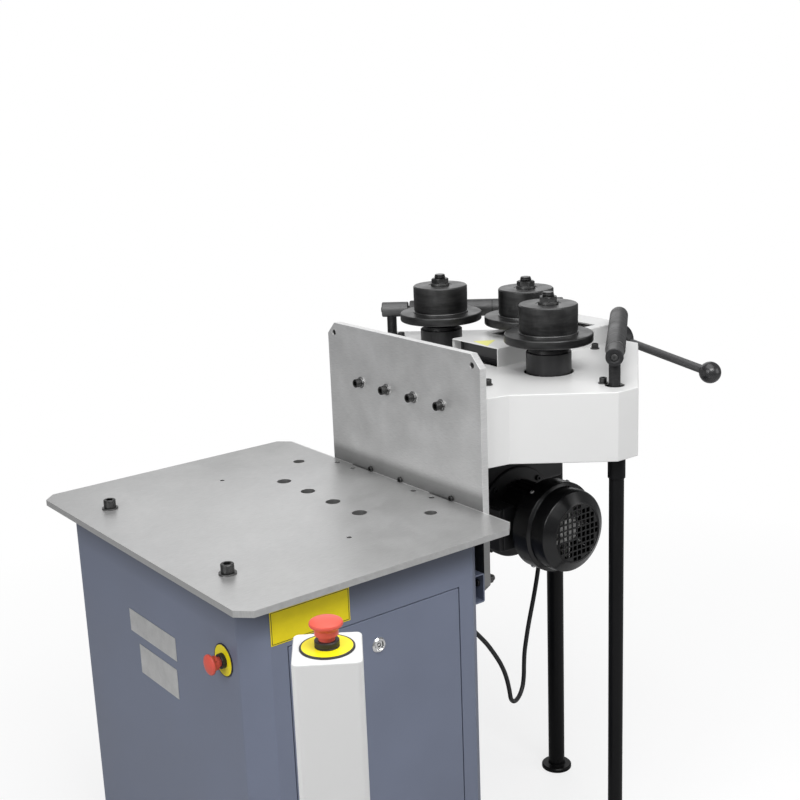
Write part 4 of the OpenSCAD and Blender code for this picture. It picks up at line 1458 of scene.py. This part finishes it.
@dataclass
class Housings:
    """Fixed housings of the driven spindles."""

    palette: Palette
    body: str = "machine"

    def build(self) -> None:
        """Builds both housings as turned sleeves."""
        span = Span("shaft_housings")
        radius, height, made = span.size.x / 2, span.size.z, Shape()
        profile = [(20.1, 0), (radius - 1, 0), (radius, 1), (radius, height - 8)]
        profile += [(radius - 0.8, height - 7.2), (radius - 5.0, height - 6.6), (radius - 7.0, height)]
        profile += [(26, height), (25, height - 6), (20.1, height - 6), (20.1, 0)]
        for node in ("near_flange", "far_flange"):
            at = Span(node).middle
            made.turned(profile, Vector((at.x, at.y, span.low.z)), Z_AXIS, 96)
        made.finish("spindle_housings", self.body, [self.palette.black], ["shaft_housings"], "black_steel")


@dataclass
class RollerStack:
    """One spindle with its neck, flange disc, bending roller, washer, nut and stud."""

    palette: Palette
    name: str
    body: str
    nut_turn: float = 0.2

    def __post_init__(self) -> None:
        """Reads the boxes of the stack's nodes and makes its steel."""
        self.disc, self.drum, self.shaft = (
            Span(self.name + part) for part in ("_flange", "_roller", "_spindle")
        )
        self.axis = self.disc.middle
        centre = (self.axis.x, self.axis.y, self.drum.low.z)
        self.finish = TurnedSteel(self.name + "_steel", 0.040, centre, 0.38, 0.045).build()

    def build(self) -> None:
        """Builds the pieces of the stack."""
        self.flange()
        self.roller()
        self.spindle()

    def foot(self, z: float) -> Vector:
        """Point on the stack's axis at a height."""
        return Vector((self.axis.x, self.axis.y, z))

    def flange(self) -> None:
        """Flange disc with a rounded rim."""
        radius, thick, rim = self.disc.size.x / 2, self.disc.size.z, 3
        low = arc((radius - rim, rim), rim, rim, range(-90, 1, 18))
        high = arc((radius - rim, thick - rim), rim, rim, range(0, 91, 18))
        profile = [(20.2, 0), *low, *high, (20.2, thick), (20.2, 0)]
        disc = Shape().turned(profile, self.foot(self.disc.low.z), Z_AXIS, 128)
        nodes = [self.name + "_flange"]
        disc.finish(self.name + "_flange_disc", self.body, [self.finish], nodes, "dark_steel")

    def roller(self) -> None:
        """Bending roller: chamfered ends, a bright step at the foot and a slight hollow."""
        radius, tall, foot = self.drum.size.x / 2, self.drum.size.z, self.drum.low.z
        rest, groove = radius - 1.2, radius - 2.0
        profile = [(20.2, 0), (radius - 0.6, 0), (radius, 0.6), (radius, 2.2), (radius - 0.5, 2.8)]
        profile += [(groove, 3.2), (groove, 4.8), (rest, 5.8), (rest, tall * 0.55)]
        profile += [(radius - 1.0, tall * 0.57), (radius - 1.0, tall - 2.4), (radius - 2.4, tall - 0.8)]
        profile += [(radius - 3.2, tall), (26.0, tall), (25.6, tall - 0.6), (20.2, tall - 0.6), (20.2, 0)]
        drum = Shape().turned(profile, self.foot(foot), Z_AXIS, 128)
        drum.mark(lambda face: face.calc_center_median().z - foot < 3.1 and abs(face.normal.z) < 0.98)
        finishes, nodes = [self.finish, self.palette.bright_dark], [self.name + "_roller"]
        drum.finish(self.name + "_bending_roller", self.body, finishes, nodes, "dark_steel")

    def spindle(self) -> None:
        """Spindle with its neck, washer, hexagon nut and threaded end."""
        neck, low, top = Span("shaft_housings").high.z + 2.0, self.shaft.low.z, self.drum.high.z
        shoulder = self.disc.low.z - 0.1
        profile = [(0, low), (20, low), (20, neck), (30, neck), (32, neck + 2), (32, shoulder)]
        profile += [(19.9, shoulder), (19.9, top - 1.0), (0, top - 1.0)]
        core = Shape().turned(profile, self.foot(0.0), Z_AXIS, 72)
        washer = [(12.0, 0.1), (21, 0.1), (21, 4.4), (20.2, 5.0), (12.0, 5.0), (12.0, 0.1)]
        stack = Shape().turned(washer, self.foot(top), Z_AXIS, 72, 1)
        stack.add(self.nut(top + 5.0, 10.0))
        stack.add(self.stud(top, self.shaft.high.z))
        core.add(stack)
        finishes, nodes = [self.finish, self.palette.bolt], [self.name + "_spindle"]
        core.finish(self.name + "_shaft", self.body, finishes, nodes, "dark_steel")

    def nut(self, low: float, height: float) -> Shape:
        """Hexagon nut with its corners turned off at both ends.

        Args:
            low: Height of its foot.
            height: Its own height.

        Returns:
            The nut, in slot 1.
        """
        across = 17.0
        corner, foot, top = across / HEX_SHARE, self.foot(low), self.foot(low + height)
        nut = Shape().rod(foot, top, corner, sides=6, slot=1, turn=self.nut_turn)
        skirt = [(0, -1), (across + 0.4, -1), (across + 0.4, 0), (corner + 0.3, 1.6)]
        skirt += [(corner + 0.3, height - 2.0), (across + 0.2, height), (across + 0.2, height + 1)]
        nut.meet(Shape().turned(skirt + [(0, height + 1)], foot, Z_AXIS, 48, 1))
        nut.cut(Shape().rod(self.foot(low - 2), self.foot(low + height + 2), 11.4, sides=48, slot=1))
        return nut

    def stud(self, low: float, high: float) -> Shape:
        """Threaded end of the spindle, as rings on a core, with a chamfered top.

        Args:
            low: Height of its foot.
            high: Height of its top.

        Returns:
            The threaded end, in slot 1.
        """
        radius, pitch, depth = 12.5, 2.5, 1.3
        core = radius - depth
        profile = [(0.0, low)]
        z = low
        while z + pitch < high - 1.6:
            profile += [(core, z), (radius, z + pitch * 0.45), (radius, z + pitch * 0.6)]
            z += pitch
        profile += [(core, z), (core, high - 1.2), (core - 1.2, high), (0.0, high)]
        return Shape().turned(profile, self.foot(0.0), Z_AXIS, 48, 1)


@dataclass
class PressSlide:
    """Carriage of the press roller, its screw and the hand lever."""

    palette: Palette
    carriage_body: str = "carriage"
    lever_body: str = "lever"
    tilt: float = 8.0

    def build(self) -> None:
        """Builds the carriage, the screw and the lever."""
        self.carriage()
        self.screw()
        self.lever()

    def carriage(self) -> None:
        """Slide block with its turned spindle housing."""
        span, flange, housing = Span("press_carriage"), Span("press_flange"), Span("shaft_housings")
        top, low, radius = span.high.z, housing.high.z - 64.0, housing.size.x / 2
        block = Shape().box(span.low, (span.high.x, span.high.y, low)).round(1.5, 2, 40.0)
        at = Vector((flange.middle.x, flange.middle.y, 0.0))
        profile = [(20.1, low - 1), (radius, low - 1), (radius, top - 3), (radius - 0.8, top - 2)]
        profile += [(radius - 2.4, top), (26, top), (25, top - 6), (20.1, top - 6), (20.1, low - 1)]
        block.turned(profile, at, Z_AXIS, 96)
        finishes, nodes = [self.palette.black], ["press_carriage"]
        block.finish("slide_carriage", self.carriage_body, finishes, nodes, "black_steel")

    def screw(self) -> None:
        """Threaded pressing screw, as rings of a trapezoid thread."""
        span = Span("press_screw")
        radius, length, pitch, depth = span.size.y / 2, span.size.x, 10.0, 3.0
        core = radius - depth
        profile = [(0.0, 0.0), (core, 0.0)]
        x = 2.0
        while x + pitch < length - 60:
            profile += [(core, x), (radius, x + 1.0), (radius, x + 4.6), (core, x + 5.6)]
            x += pitch
        profile += [(core, x), (radius, x + 1.5), (radius, length), (0.0, length)]
        made = Shape().turned(profile, Vector((span.low.x, span.middle.y, span.middle.z)), X_AXIS, 48)
        made.finish("pressing_screw", self.lever_body, [self.palette.screw], ["press_screw"], "screw_steel")

    def lever(self) -> None:
        """Hub, round rod and ball of the hand lever."""
        screw = Span("press_screw")
        start = Vector((screw.high.x, screw.middle.y, screw.middle.z))
        profile = [(0, 0), (31, 0), (34, 1.0), (35, 4), (35, 20), (33.6, 23.4), (27, 30), (12, 30)]
        hub = Shape().turned(profile + [(11, 29), (0, 29)], start, X_AXIS, 96)
        hub.finish("lever_hub", self.lever_body, [self.palette.black])
        tilt = math.radians(self.tilt)
        along = Vector((0.0, -math.cos(tilt), -math.sin(tilt)))
        centre = start + X_AXIS * 15.0
        rod = Shape().turned([(0, 20), (9.5, 20), (9.5, 244), (0, 246)], centre, along, 48)
        rod.finish("lever_rod", self.lever_body, [self.palette.lever])
        radius, middle = 24, 267
        turns = [math.radians(angle) for angle in (*range(22, 180, 9), 180)]
        profile = [(radius * math.sin(a), middle - radius * math.cos(a)) for a in turns]
        ball = Shape().turned(profile, centre, along, 64)
        ball.finish("lever_ball", self.lever_body, [self.palette.ball], ["press_lever"], "dark_steel", 60.0)


@dataclass
class Guide:
    """Guide post with its cross block, pin, end screw and free-turning roller."""

    palette: Palette
    side: str
    turn: float
    roller_body: str
    cover: HeadCover
    pitch: float = 3.0
    start: float = 43.5
    length: float = 360.0
    body: str = "machine"

    def build(self) -> None:
        """Builds the post and its roller."""
        self.axis = self.cover.posts[self.side]
        roller = Span(self.side + "_guide_roller")
        self.height, self.radius = roller.middle.z, roller.size.z / 2
        angle = math.radians(self.turn)
        self.along = Vector((-math.sin(angle), math.cos(angle), 0.0))
        self.post(Span(self.side + "_guide_post").low.z)
        self.roller()

    def point(self, reach: float) -> Vector:
        """Point on the roller's axis, counted from the post's axis."""
        return self.axis + Z_AXIS * self.height + self.along * reach

    def post(self, low: float) -> None:
        """Post, cross block with its end ring and screw, and the roller's pin.

        Args:
            low: Height of the post's foot.
        """
        radius = self.radius - 2.5
        foot, reach = self.axis + Z_AXIS * low, self.height - 4 - low
        crests = [(0.0, 0.0), (11.5, 0.0)]
        for turn in range(int((reach - 1.0) / self.pitch)):
            z = 1.0 + turn * self.pitch
            crests += [(10.7, z), (11.5, z + 0.8), (11.5, z + self.pitch - 0.8)]
        made = Shape().turned([*crests, (10.7, reach), (0.0, reach)], foot, Z_AXIS, 64, 1)
        tip = self.start + self.length + 4.0
        profile = [(0, -20.5), (7.6, -20.5), (8.0, -21.2), (radius - 7.0, -21.6), (radius - 6.4, -22.0)]
        profile += [(radius - 1.6, -22.0), (radius, -20.4), (radius, 38.4), (radius - 1.6, 40), (8, 40)]
        made.turned(profile + [(8, tip), (0, tip)], self.point(0), self.along, 72)
        made.mark(lambda face: face.normal.dot(self.along) < -0.6)
        screw = SocketScrew(6.4, 3.2, 5.0)
        made.add(screw.shape(self.point(-21.0), -self.along, 2.0))
        end = self.point(self.start + self.length + 0.4)
        made.turned([(8, 0), (13.5, 0), (13.5, 3.0), (12.6, 3.9), (8, 3.9), (8, 0)], end, self.along, 48)
        finishes, nodes = [self.palette.guide, self.palette.black], [self.side + "_guide_post"]
        made.finish(self.side + "_guide_stand", self.body, finishes, nodes, "black_steel")

    def roller(self) -> None:
        """Long guide roller with shallow rubbed rings and rounded ends."""
        r, length = self.radius, self.length
        profile = [(8.2, 0), (r - 3.0, 0), (r - 0.8, 1.0), (r, 3.2), (r, 12.0)]
        for place in (64.0, 129.0, 194.0, 259.0, 324.0):
            profile += [(r, place - 1.0), (r - 0.5, place - 0.5), (r - 0.5, place + 0.5), (r, place + 1.0)]
        profile += [(r, length - 4), (r - 1.4, length - 1.0), (r - 4, length), (8.2, length), (8.2, 0)]
        tube = Shape().turned(profile, self.point(self.start), self.along, 72)
        finishes, nodes = [self.palette.guide], [self.side + "_guide_roller"]
        tube.finish(self.side + "_guide_tube", self.roller_body, finishes, nodes, "dark_steel")


# --- drive


@dataclass
class Drive:
    """Worm gearbox, ribbed motor, fan cowl with its square mesh and terminal box."""

    palette: Palette
    ribs: int = 32
    mesh_pitch: float = 12.5
    mesh_hole: float = 9.5
    mesh_radius: float = 60.0
    blades: int = 8
    body: str = "machine"

    def __post_init__(self) -> None:
        """Reads the motor's axis."""
        cowl = Span("motor_cowl")
        self.skirt = cowl.size.x / 2
        self.radius = self.skirt - 8.0
        self.centre = cowl.middle
        self.front = cowl.low.y
        self.back = cowl.high.y
        self.head = Span("upright_plate").middle.y

    def on(self, y: float) -> Vector:
        """Point on the motor's axis."""
        return Vector((self.centre.x, y, self.centre.z))

    def out(self, reach: float) -> Vector:
        """Point on the motor's axis, counted from the cowl's front towards the head."""
        return self.on(self.front + reach)

    def build(self) -> None:
        """Builds every piece of the drive."""
        self.gearbox()
        self.motor()
        self.cowl()
        self.fan()
        self.terminal_box()

    def gearbox(self) -> None:
        """Ribbed worm gearbox under the head, with its flanges and bolts."""
        high = Span("gearbox").high
        x, y, z = self.centre.x, self.head, self.centre.z
        neck = Vector((Span("near_flange").middle.x, Span("press_flange").middle.y, 0))
        case_low, case_high = z + 47.0, high.z - 36.0
        box = Shape().box((x - 75, y - 55, z - 80), (x + 75, y + 55, case_low + 1))
        box.round(9.0, 4, 40.0)
        case = Shape().box((high.x - 266, y - 62, case_low), (high.x, y + 88, case_high))
        box.add(case.round(8.0, 4, 40.0))
        neck_ring = [(0, 0), (100, 0), (100, 35), (98, 37), (0, 37)]
        flange = [(0, 0), (98, 0), (100, 2), (100, 14), (98, 16), (0, 16)]
        cap = [(0, 0), (55, 0), (55, 8), (51, 12), (0, 12)]
        box.turned(neck_ring, neck + Z_AXIS * (case_high - 1), Z_AXIS, 96)
        box.turned(flange, self.on(y - 54), -Y_AXIS, 96)
        box.turned(cap, self.on(y + 54), Y_AXIS, 72)
        for rib in range(-60, 61, 20):
            box.box((x + rib - 2.5, y - 54, z - 83.0), (x + rib + 2.5, y + 54, z - 79))
        screw = SocketScrew(6.5, 5.0, 6.0)
        for bolt_x, bolt_z in arc((x, z), 88, 88, (45, 135, 225, 315)):
            box.add(screw.shape(Vector((bolt_x, y - 69.8, bolt_z)), -Y_AXIS, 2.0))
        finishes = [self.palette.casting, self.palette.bolt]
        box.finish("worm_gearbox", self.body, finishes, ["gearbox"], "cast_black")

    def motor(self) -> None:
        """Motor body: core with cooling ribs, front shield and cable boss."""
        start, end = self.front + 90.0, self.head - 70.0
        x, z = self.centre.x, self.centre.z
        core = Shape().rod(self.on(end), self.on(start), 62.0, sides=96)
        for index in range(self.ribs):
            angle = math.tau * index / self.ribs
            by_terminal_box = math.cos(angle) < -0.55 and abs(math.sin(angle)) < 0.84
            if not by_terminal_box:
                rib = Shape().box((60, 0, -1.4), (73, end - start, 1.4)).round(0.9, 2, 60.0, along_y)
                turn = Matrix.Rotation(angle, 4, "Y")
                core.add(rib.move(Matrix.Translation(self.on(start)) @ turn))
        shield = [(0, -5), (90, -5), (92, -3), (92, 8), (89, 10.5), (0, 10.5)]
        core.turned(shield, self.out(89.0), Y_AXIS, 96)
        boss = Vector((x + 14.0, self.head - 124.0, z - 73.0))
        core.turned([(0, 0), (13, 0), (15, 2), (15, 22), (0, 22)], boss, Z_AXIS, 40)
        core.box((x - 66.0, self.head - 137, z - 36), (x - 40, self.head - 73, z + 36))
        core.finish("ribbed_motor", self.body, [self.palette.casting], ["motor"], "cast_black")

    def cowl(self) -> None:
        """Fan cowl: cone and cylinder with a step, a rolled ring and a square mesh."""
        r, mesh, skirt = self.radius, self.mesh_radius, self.skirt
        wall, step, length = 2.2, 52.0, self.back - self.front
        dome = [(mesh + 3.0, 0.0), (mesh + 4.2, 0.5), (mesh + 5.2, 1.3), (r - 3.6, 14.0), (r - 2.6, 15.6)]
        dome += [(r - 1.7, 18.4), (r - 1.0, 22.0), (r - 0.4, 26.5), (r, 31.0)]
        outer = [(mesh, 2.2), (mesh + 0.6, 1.0), (mesh + 1.8, 0.1), *dome, (r, step - 5), (r + 1, step - 3.4)]
        outer += [
            (skirt - 1.2, step - 0.8), (skirt, step + 1.0), (skirt, length - 0.5), (skirt - 0.5, length)
        ]
        inner = [(skirt - wall, length), (skirt - wall, step + 2), (r - wall, step - 2.4)]
        inner += [(x - wall if x > mesh + 8 else x - 0.4, y + wall) for x, y in reversed(dome)]
        inner += [(mesh, 4.4), (mesh, 2.2)]
        shell = Shape().turned(outer + inner, self.out(0), Y_AXIS, 128)
        shell.add(self.grille())
        for x, z in arc((0.0, 0.0), 1.0, 1.0, (122.0, 238.0, 302.0, 58.0)):
            direction = Vector((x, 0.0, z))
            shell.add(self.cross_screw(self.out(length - 12.0) + direction * (skirt - 0.2), direction))
        finishes = [self.palette.cowl, self.palette.bright]
        shell.finish("fan_cowl", self.body, finishes, ["motor_cowl"], "cowl_black", 40.0)

    def cross_screw(self, at: Vector, out: Vector) -> Shape:
        """Bright pan-head screw with a cross recess.

        Args:
            at: Middle of its foot.
            out: Direction that its head points to.

        Returns:
            The screw, in slot 1.
        """
        head = Shape().turned(
            [(0, 0), (4.6, 0), (4.6, 0.9), (3.9, 2.2), (2.2, 3.0), (0, 3.2)], at, out, 32, 1
        )
        for wide, high in ((2.6, 0.55), (0.55, 2.6)):
            head.cut(Shape().box((-wide, -high, 1.7), (wide, high, 4.0), 1).move(facing(at, out, Y_AXIS)))
        return head

    def grille(self) -> Shape:
        """Square mesh pressed out of the cowl's face, inside a round opening.

        Returns:
            The mesh.
        """
        pitch, half, radius = self.mesh_pitch, self.mesh_hole / 2, self.mesh_radius
        disc_profile = [(0, 2.0), (radius + 0.4, 2.0), (radius + 0.4, 4.6), (0, 4.6)]
        disc = Shape().turned(disc_profile, self.out(0), Y_AXIS, 96)
        holes = Shape()
        count = int(radius / pitch) + 1
        for i in range(-count, count):
            for j in range(-count, count):
                x, z = (i + 0.5) * pitch, (j + 0.5) * pitch
                if math.hypot(abs(x) + half, abs(z) + half) < radius + 3.0:
                    centre = self.out(0) + Vector((x, 0, z))
                    holes.box(centre + Vector((-half, -2, -half)), centre + Vector((half, 9, half)))
        inside, outside = radius - 0.6, radius + 6
        rim = [(outside, -4), (inside, -4), (inside, 12), (outside, 12), (outside, -4)]
        holes.cut(Shape().turned(rim, self.out(0), Y_AXIS, 96))
        return disc.cut(holes).round(0.35, 1, 60.0)

    def fan(self) -> None:
        """Fan behind the mesh: hub, shaft end and blades."""
        made = Shape().rod(self.out(14), self.out(100), 11.0, sides=32)
        made.turned([(0, 24), (23, 24), (25, 26), (25, 48), (0, 48)], self.out(0), Y_AXIS, 48)
        for index in range(self.blades):
            blade = Shape().box((22, 24, -1.2), (62, 47, 1.2)).round(0.8, 2, 60.0)
            turn = Matrix.Rotation(math.tau * index / self.blades, 4, "Y")
            made.add(blade.move(Matrix.Translation(self.out(0)) @ turn))
        made.finish("cooling_fan", self.body, [self.palette.fan])

    def terminal_box(self) -> None:
        """Terminal box on the motor's side: case, lid, seal and four screws."""
        low, high, size = Span("terminal_box").low, Span("terminal_box").high, Span("terminal_box").size
        joint = high.x - 34.0
        made = Shape().box((joint, low.y, low.z), high).round(2.5, 3, 40.0)
        lid = Shape().box((low.x, low.y + 1, low.z + 1), (joint - 0.8, high.y - 1, high.z - 1))
        made.add(lid.round(3.0, 4, 40.0))
        made.box((joint - 1.0, low.y + 2.5, low.z + 2.5), (joint + 0.5, high.y - 2.5, high.z - 2.5), 1)
        for y in (8.0, size.y - 8.0):
            for z in (8.0, size.z - 8.0):
                at = low + Vector((3.2, y, z))
                made.rod(at, at - X_AXIS * 3.0, 3.2, sides=24, slot=2)
        finishes = [self.palette.casting, self.palette.rubber, self.palette.bright]
        made.finish("terminal_case", self.body, finishes, ["terminal_box"], "cast_black")


@dataclass
class CableRun:
    """Motor cable with its glands, from the cabinet to the motor."""

    palette: Palette
    diameter: float = 9.5
    sides: int = 20
    body: str = "machine"
    knots: tuple[tuple[float, float, float], ...] = (
        (590, 186, 562), (612, 186, 555), (634, 186, 538), (655, 186, 515), (675, 186, 491), (693, 186, 465),
        (709, 186, 439), (722, 187, 413), (733, 190, 386), (741, 193, 360), (748, 196, 337), (765, 204, 323),
        (787, 214, 323), (805, 222, 337), (812, 225, 360), (815, 227, 385), (818, 228, 412), (823, 228, 439),
        (829, 228, 466), (836, 228, 493), (844, 228, 522), (852, 228, 553), (859, 228, 584), (864, 228, 614)
    )

    def build(self) -> None:
        """Builds the cable and the glands."""
        self.path = self.smooth_path()
        self.cable()
        self.glands()

    def smooth_path(self, steps: int = 4) -> list[Vector]:
        """Points along a curve through the knots, which leaves each end straight.

        Args:
            steps: Number of points for each knot.

        Returns:
            The points.
        """
        points = [machine_point(*knot) for knot in self.knots]
        first = points[0] - X_AXIS * (points[1] - points[0]).length
        last = points[-1] + Z_AXIS * (points[-1] - points[-2]).length
        chain = [first, *points, last]
        path = []
        for a, b, c, d in zip(chain, chain[1:], chain[2:], chain[3:]):
            for step in range(steps):
                t = step / steps
                bend = (2 * a - 5 * b + 4 * c - d) * t * t
                path.append(0.5 * (2 * b + (c - a) * t + bend + (3 * b - a - 3 * c + d) * t * t * t))
        return path + [points[-1]]

    def cable(self) -> None:
        """Round cable swept along the path."""
        made, path, radius = Shape(), self.path, self.diameter / 2
        angles = [math.tau * k / self.sides for k in range(self.sides)]
        rings = []
        previous = Y_AXIS
        for point, behind, ahead in zip(path, [path[0], *path], [*path[1:], path[-1]]):
            along = (ahead - behind).normalized()
            previous = (previous - along * previous.dot(along)).normalized()
            side, other = previous, along.cross(previous)
            spokes = [radius * (math.cos(a) * side + math.sin(a) * other) for a in angles]
            rings.append([made.bm.verts.new(point + spoke) for spoke in spokes])
        for ring, after in zip(rings, rings[1:]):
            for k in range(self.sides):
                n = (k + 1) % self.sides
                made.bm.faces.new((ring[k], ring[n], after[n], after[k]))
        made.bm.faces.new(list(reversed(rings[0])))
        made.bm.faces.new(rings[-1])
        bmesh.ops.recalc_face_normals(made.bm, faces=made.bm.faces)
        piece = made.finish("motor_lead", self.body, [self.palette.rubber], ["motor_cable"], "cable_rubber")

    def glands(self) -> None:
        """Cable glands: hexagon, dome nut with grip ribs and a tapered seal."""
        made, bore = Shape(), self.diameter / 2 + 0.5
        for end, out, reach in ((self.path[0], X_AXIS, 30.0), (self.path[-1], -Z_AXIS, 26.0)):
            seat = end - out * reach
            made.rod(seat, seat + out * 8, 12.0 / HEX_SHARE, sides=6)
            profile = [(0, 7), (9.6, 7), (10, 8), (10, reach - 8), (9.4, reach - 5), (7.2, reach - 1.4)]
            profile += [(6.2, reach - 0.4), (bore, reach - 0.4), (bore, reach - 3), (0, reach - 3)]
            made.turned(profile, seat, out, 40)
            for index in range(16):
                turn = facing(seat, out, Y_AXIS) @ Matrix.Rotation(math.tau * index / 16, 4, "Z")
                made.add(Shape().box((9.6, -0.8, 9.5), (10.4, 0.8, reach - 8.5)).move(turn))
        made.finish("lead_glands", self.body, [self.palette.collar], ["cable_glands"], "cable_rubber")


@dataclass
class Legs:
    """Three tube legs with foot discs; the side ones have a sleeve under the head."""

    palette: Palette
    cover: HeadCover
    body: str = "machine"

    def build(self) -> None:
        """Builds the legs."""
        for name in ("near_leg", "far_leg", "rear_leg"):
            span, rear = Span(name), name == "rear_leg"
            middle, top = span.middle, span.high.z
            radius, disc, sleeve = 19.0 if rear else 15.0, span.size.x / 2, 17.5
            profile = [(0, 0), (disc - 1.2, 0), (disc, 1.2), (disc, 7.6), (disc - 2.4, 10)]
            profile += [(radius + 3.5, 10), (radius + 1.0, 11.0), (radius, 14.0)]
            if rear:
                profile += [(radius, top - 0.8), (radius - 0.5, top - 0.2), (0, top - 0.2)]
            else:
                profile += [(radius, top - 50.2), (sleeve - 1.2, top - 50.0), (sleeve, top - 48.8)]
                profile += [(sleeve, top - 1.0), (sleeve - 0.5, top - 0.2), (0, top - 0.2)]
            tube = Shape().turned(profile, Vector((middle.x, middle.y, 0.0)), Z_AXIS, 72)
            tube.finish(name + "_tube", self.body, [self.palette.leg], [name], "black_steel")


# --- studio


@dataclass
class Studio:
    """Camera, pale floor and soft lights."""

    place: tuple[float, float, float] = (-938.1, -1688.2, 1660.4)
    turns: tuple[float, float, float] = (37.005, 14.562, -2.225)
    lens: float = 58.3875

    def camera(self) -> None:
        """Camera a little above the head, looking down across the table."""
        heading, pitch, roll = (math.radians(angle) for angle in self.turns)
        level_share = math.cos(pitch)
        forward = Vector((math.sin(heading) * level_share, math.cos(heading) * level_share, -math.sin(pitch)))
        right = Vector((math.cos(heading), -math.sin(heading), 0.0))
        up = right.cross(forward)
        level = (math.cos(roll) * right + math.sin(roll) * up).normalized()
        top = (-math.sin(roll) * right + math.cos(roll) * up).normalized()
        lens = bpy.data.cameras.new("camera")
        lens.sensor_width = 36.0
        lens.lens = self.lens
        lens.clip_end = 50.0
        made = bpy.data.objects.new("camera", lens)
        turn = Matrix((level, top, -forward)).transposed().to_4x4()
        made.matrix_world = Matrix.Translation(machine_point(*self.place) * MM) @ turn
        bpy.context.scene.collection.objects.link(made)
        bpy.context.scene.camera = made

    def light(self, name: str, place: Vector, target: Vector, size: float, power: float, tall: float) -> None:
        """Soft rectangular light.

        Args:
            name: Name of the light.
            place: Where it stands, in metres.
            target: Where it points.
            size: Its width in metres.
            power: Its power in watts.
            tall: Its height in metres.
        """
        lamp = bpy.data.lights.new(name, "AREA")
        lamp.shape = "RECTANGLE"
        lamp.energy, lamp.size, lamp.size_y = power, size, tall
        made = bpy.data.objects.new(name, lamp)
        made.matrix_world = facing(place, place - target)
        bpy.context.scene.collection.objects.link(made)

    def world(self) -> None:
        """Even pale surroundings, which the camera sees as white."""
        world = bpy.data.worlds.new("world")
        bpy.context.scene.world = world
        world.use_nodes = True
        nodes, links = world.node_tree.nodes, world.node_tree.links
        nodes.clear()
        path = nodes.new("ShaderNodeLightPath")
        mixed = nodes.new("ShaderNodeMixShader")
        links.new(path.outputs["Is Camera Ray"], mixed.inputs[0])
        lit, seen = ((0.97, 0.98, 1.0, 1.0), 0.27), ((1.0, 1.0, 1.0, 1.0), 1.0)
        for index, (colour, strength) in enumerate((lit, seen), start=1):
            shade = nodes.new("ShaderNodeBackground")
            shade.inputs["Color"].default_value = colour
            shade.inputs["Strength"].default_value = strength
            links.new(shade.outputs[0], mixed.inputs[index])
        output = nodes.new("ShaderNodeOutputWorld")
        links.new(mixed.outputs[0], output.inputs["Surface"])

    def floor(self) -> None:
        """Wide pale floor that keeps the shadow and fades to white."""
        mesh = bpy.data.meshes.new("floor")
        build = bmesh.new()
        bmesh.ops.create_grid(build, x_segments=1, y_segments=1, size=14.0)
        build.to_mesh(mesh)
        build.free()
        made = bpy.data.objects.new("floor", mesh)
        bpy.context.scene.collection.objects.link(made)
        graph = Graph("floor")
        graph.set(Roughness=0.9, Specular_IOR_Level=0.2)
        distance = graph.node("VectorMath", {0: graph.place()}, operation="LENGTH").outputs["Value"]
        fade = graph.between(distance, 1.1, 2.6)
        seen = graph.node("LightPath", {}).outputs["Is Camera Ray"]
        graph.set(Base_Color=graph.mix(seen, [0.50] * 3, [1.0] * 3))
        glow = graph.node("Emission", {"Strength": 1.0})
        share = graph.math("MULTIPLY", graph.math("ADD", graph.math("MULTIPLY", fade, 0.3), 0.7), seen)
        inputs = {0: share, 1: graph.shader.outputs["BSDF"], 2: glow.outputs[0]}
        graph.put(graph.surface, graph.node("MixShader", inputs).outputs[0])
        mesh.materials.append(graph.material)

    def build(self) -> None:
        """Sets up the whole studio."""
        view = bpy.context.scene.view_settings
        view.view_transform = "Standard"
        view.look = "None"
        view.exposure = 0.0
        self.camera()
        self.world()
        self.floor()
        middle, head = Vector((0.0, 0.1, 0.8)), Vector((0.38, 0.07, 0.7))
        for name, place, target, size, power, tall in (
            ("key", (-0.75, -2.5, 2.9), head, 2.0, 8.0, 2.0),
            ("side", (-3.2, -0.6, 2.4), middle, 2.0, 60.0, 2.0),
            ("fill", (2.6, -2.8, 1.9), middle, 2.2, 24.0, 2.2),
            ("glint", (-0.2, -1.6, 2.8), head, 1.8, 38.0, 0.9),
            ("back", (2.2, 3.2, 2.6), middle, 3.2, 26.0, 3.2),
            ("top", (0.0, 0.0, 4.2), middle, 3.4, 62.0, 3.4),
        ):
            self.light(name, Vector(place), target, size, power, tall)


# --- building


class Side(Enum):
    """The two driven sides of the head, with the angle of the guide on each."""

    NEAR = ("near", -48.0)
    FAR = ("far", -132.0)

    @property
    def label(self) -> str:
        """Prefix of the side's nodes."""
        return self.value[0]

    @property
    def guide_turn(self) -> float:
        """Turn of the guide about the vertical, in degrees."""
        return self.value[1]


def build_machine(palette: Palette) -> None:
    """Builds every piece of the machine, the cable first.

    Args:
        palette: The finishes.
    """
    CableRun(palette).build()
    Cabinet(palette).build()
    Table(palette).build()
    UprightPlate(palette).build()
    StopSwitch(palette, "cabinet_stop_base", "cabinet_stop_button", "cabinet_stop", -X_AXIS).build()
    StopSwitch(palette, "post_stop_base", "post_stop_button", "post_stop", Z_AXIS).build()
    ControlPost(palette).build()
    cover = HeadCover(palette)
    cover.build()
    Housings(palette).build()
    for name, turn in (("near", 0.35), ("far", 0.1), ("press", 0.7)):
        RollerStack(palette, name, name + "_spin", turn).build()
    PressSlide(palette).build()
    for side in Side:
        Guide(palette, side.label, side.guide_turn, side.label + "_guide", cover).build()
    Drive(palette).build()
    Legs(palette, cover).build()


def main() -> None:
    """Builds the studio and the machine."""
    logging.basicConfig(level=logging.INFO, format="%(message)s")
    Studio().build()
    build_machine(Palette())


if __name__ == "__main__":
    main()
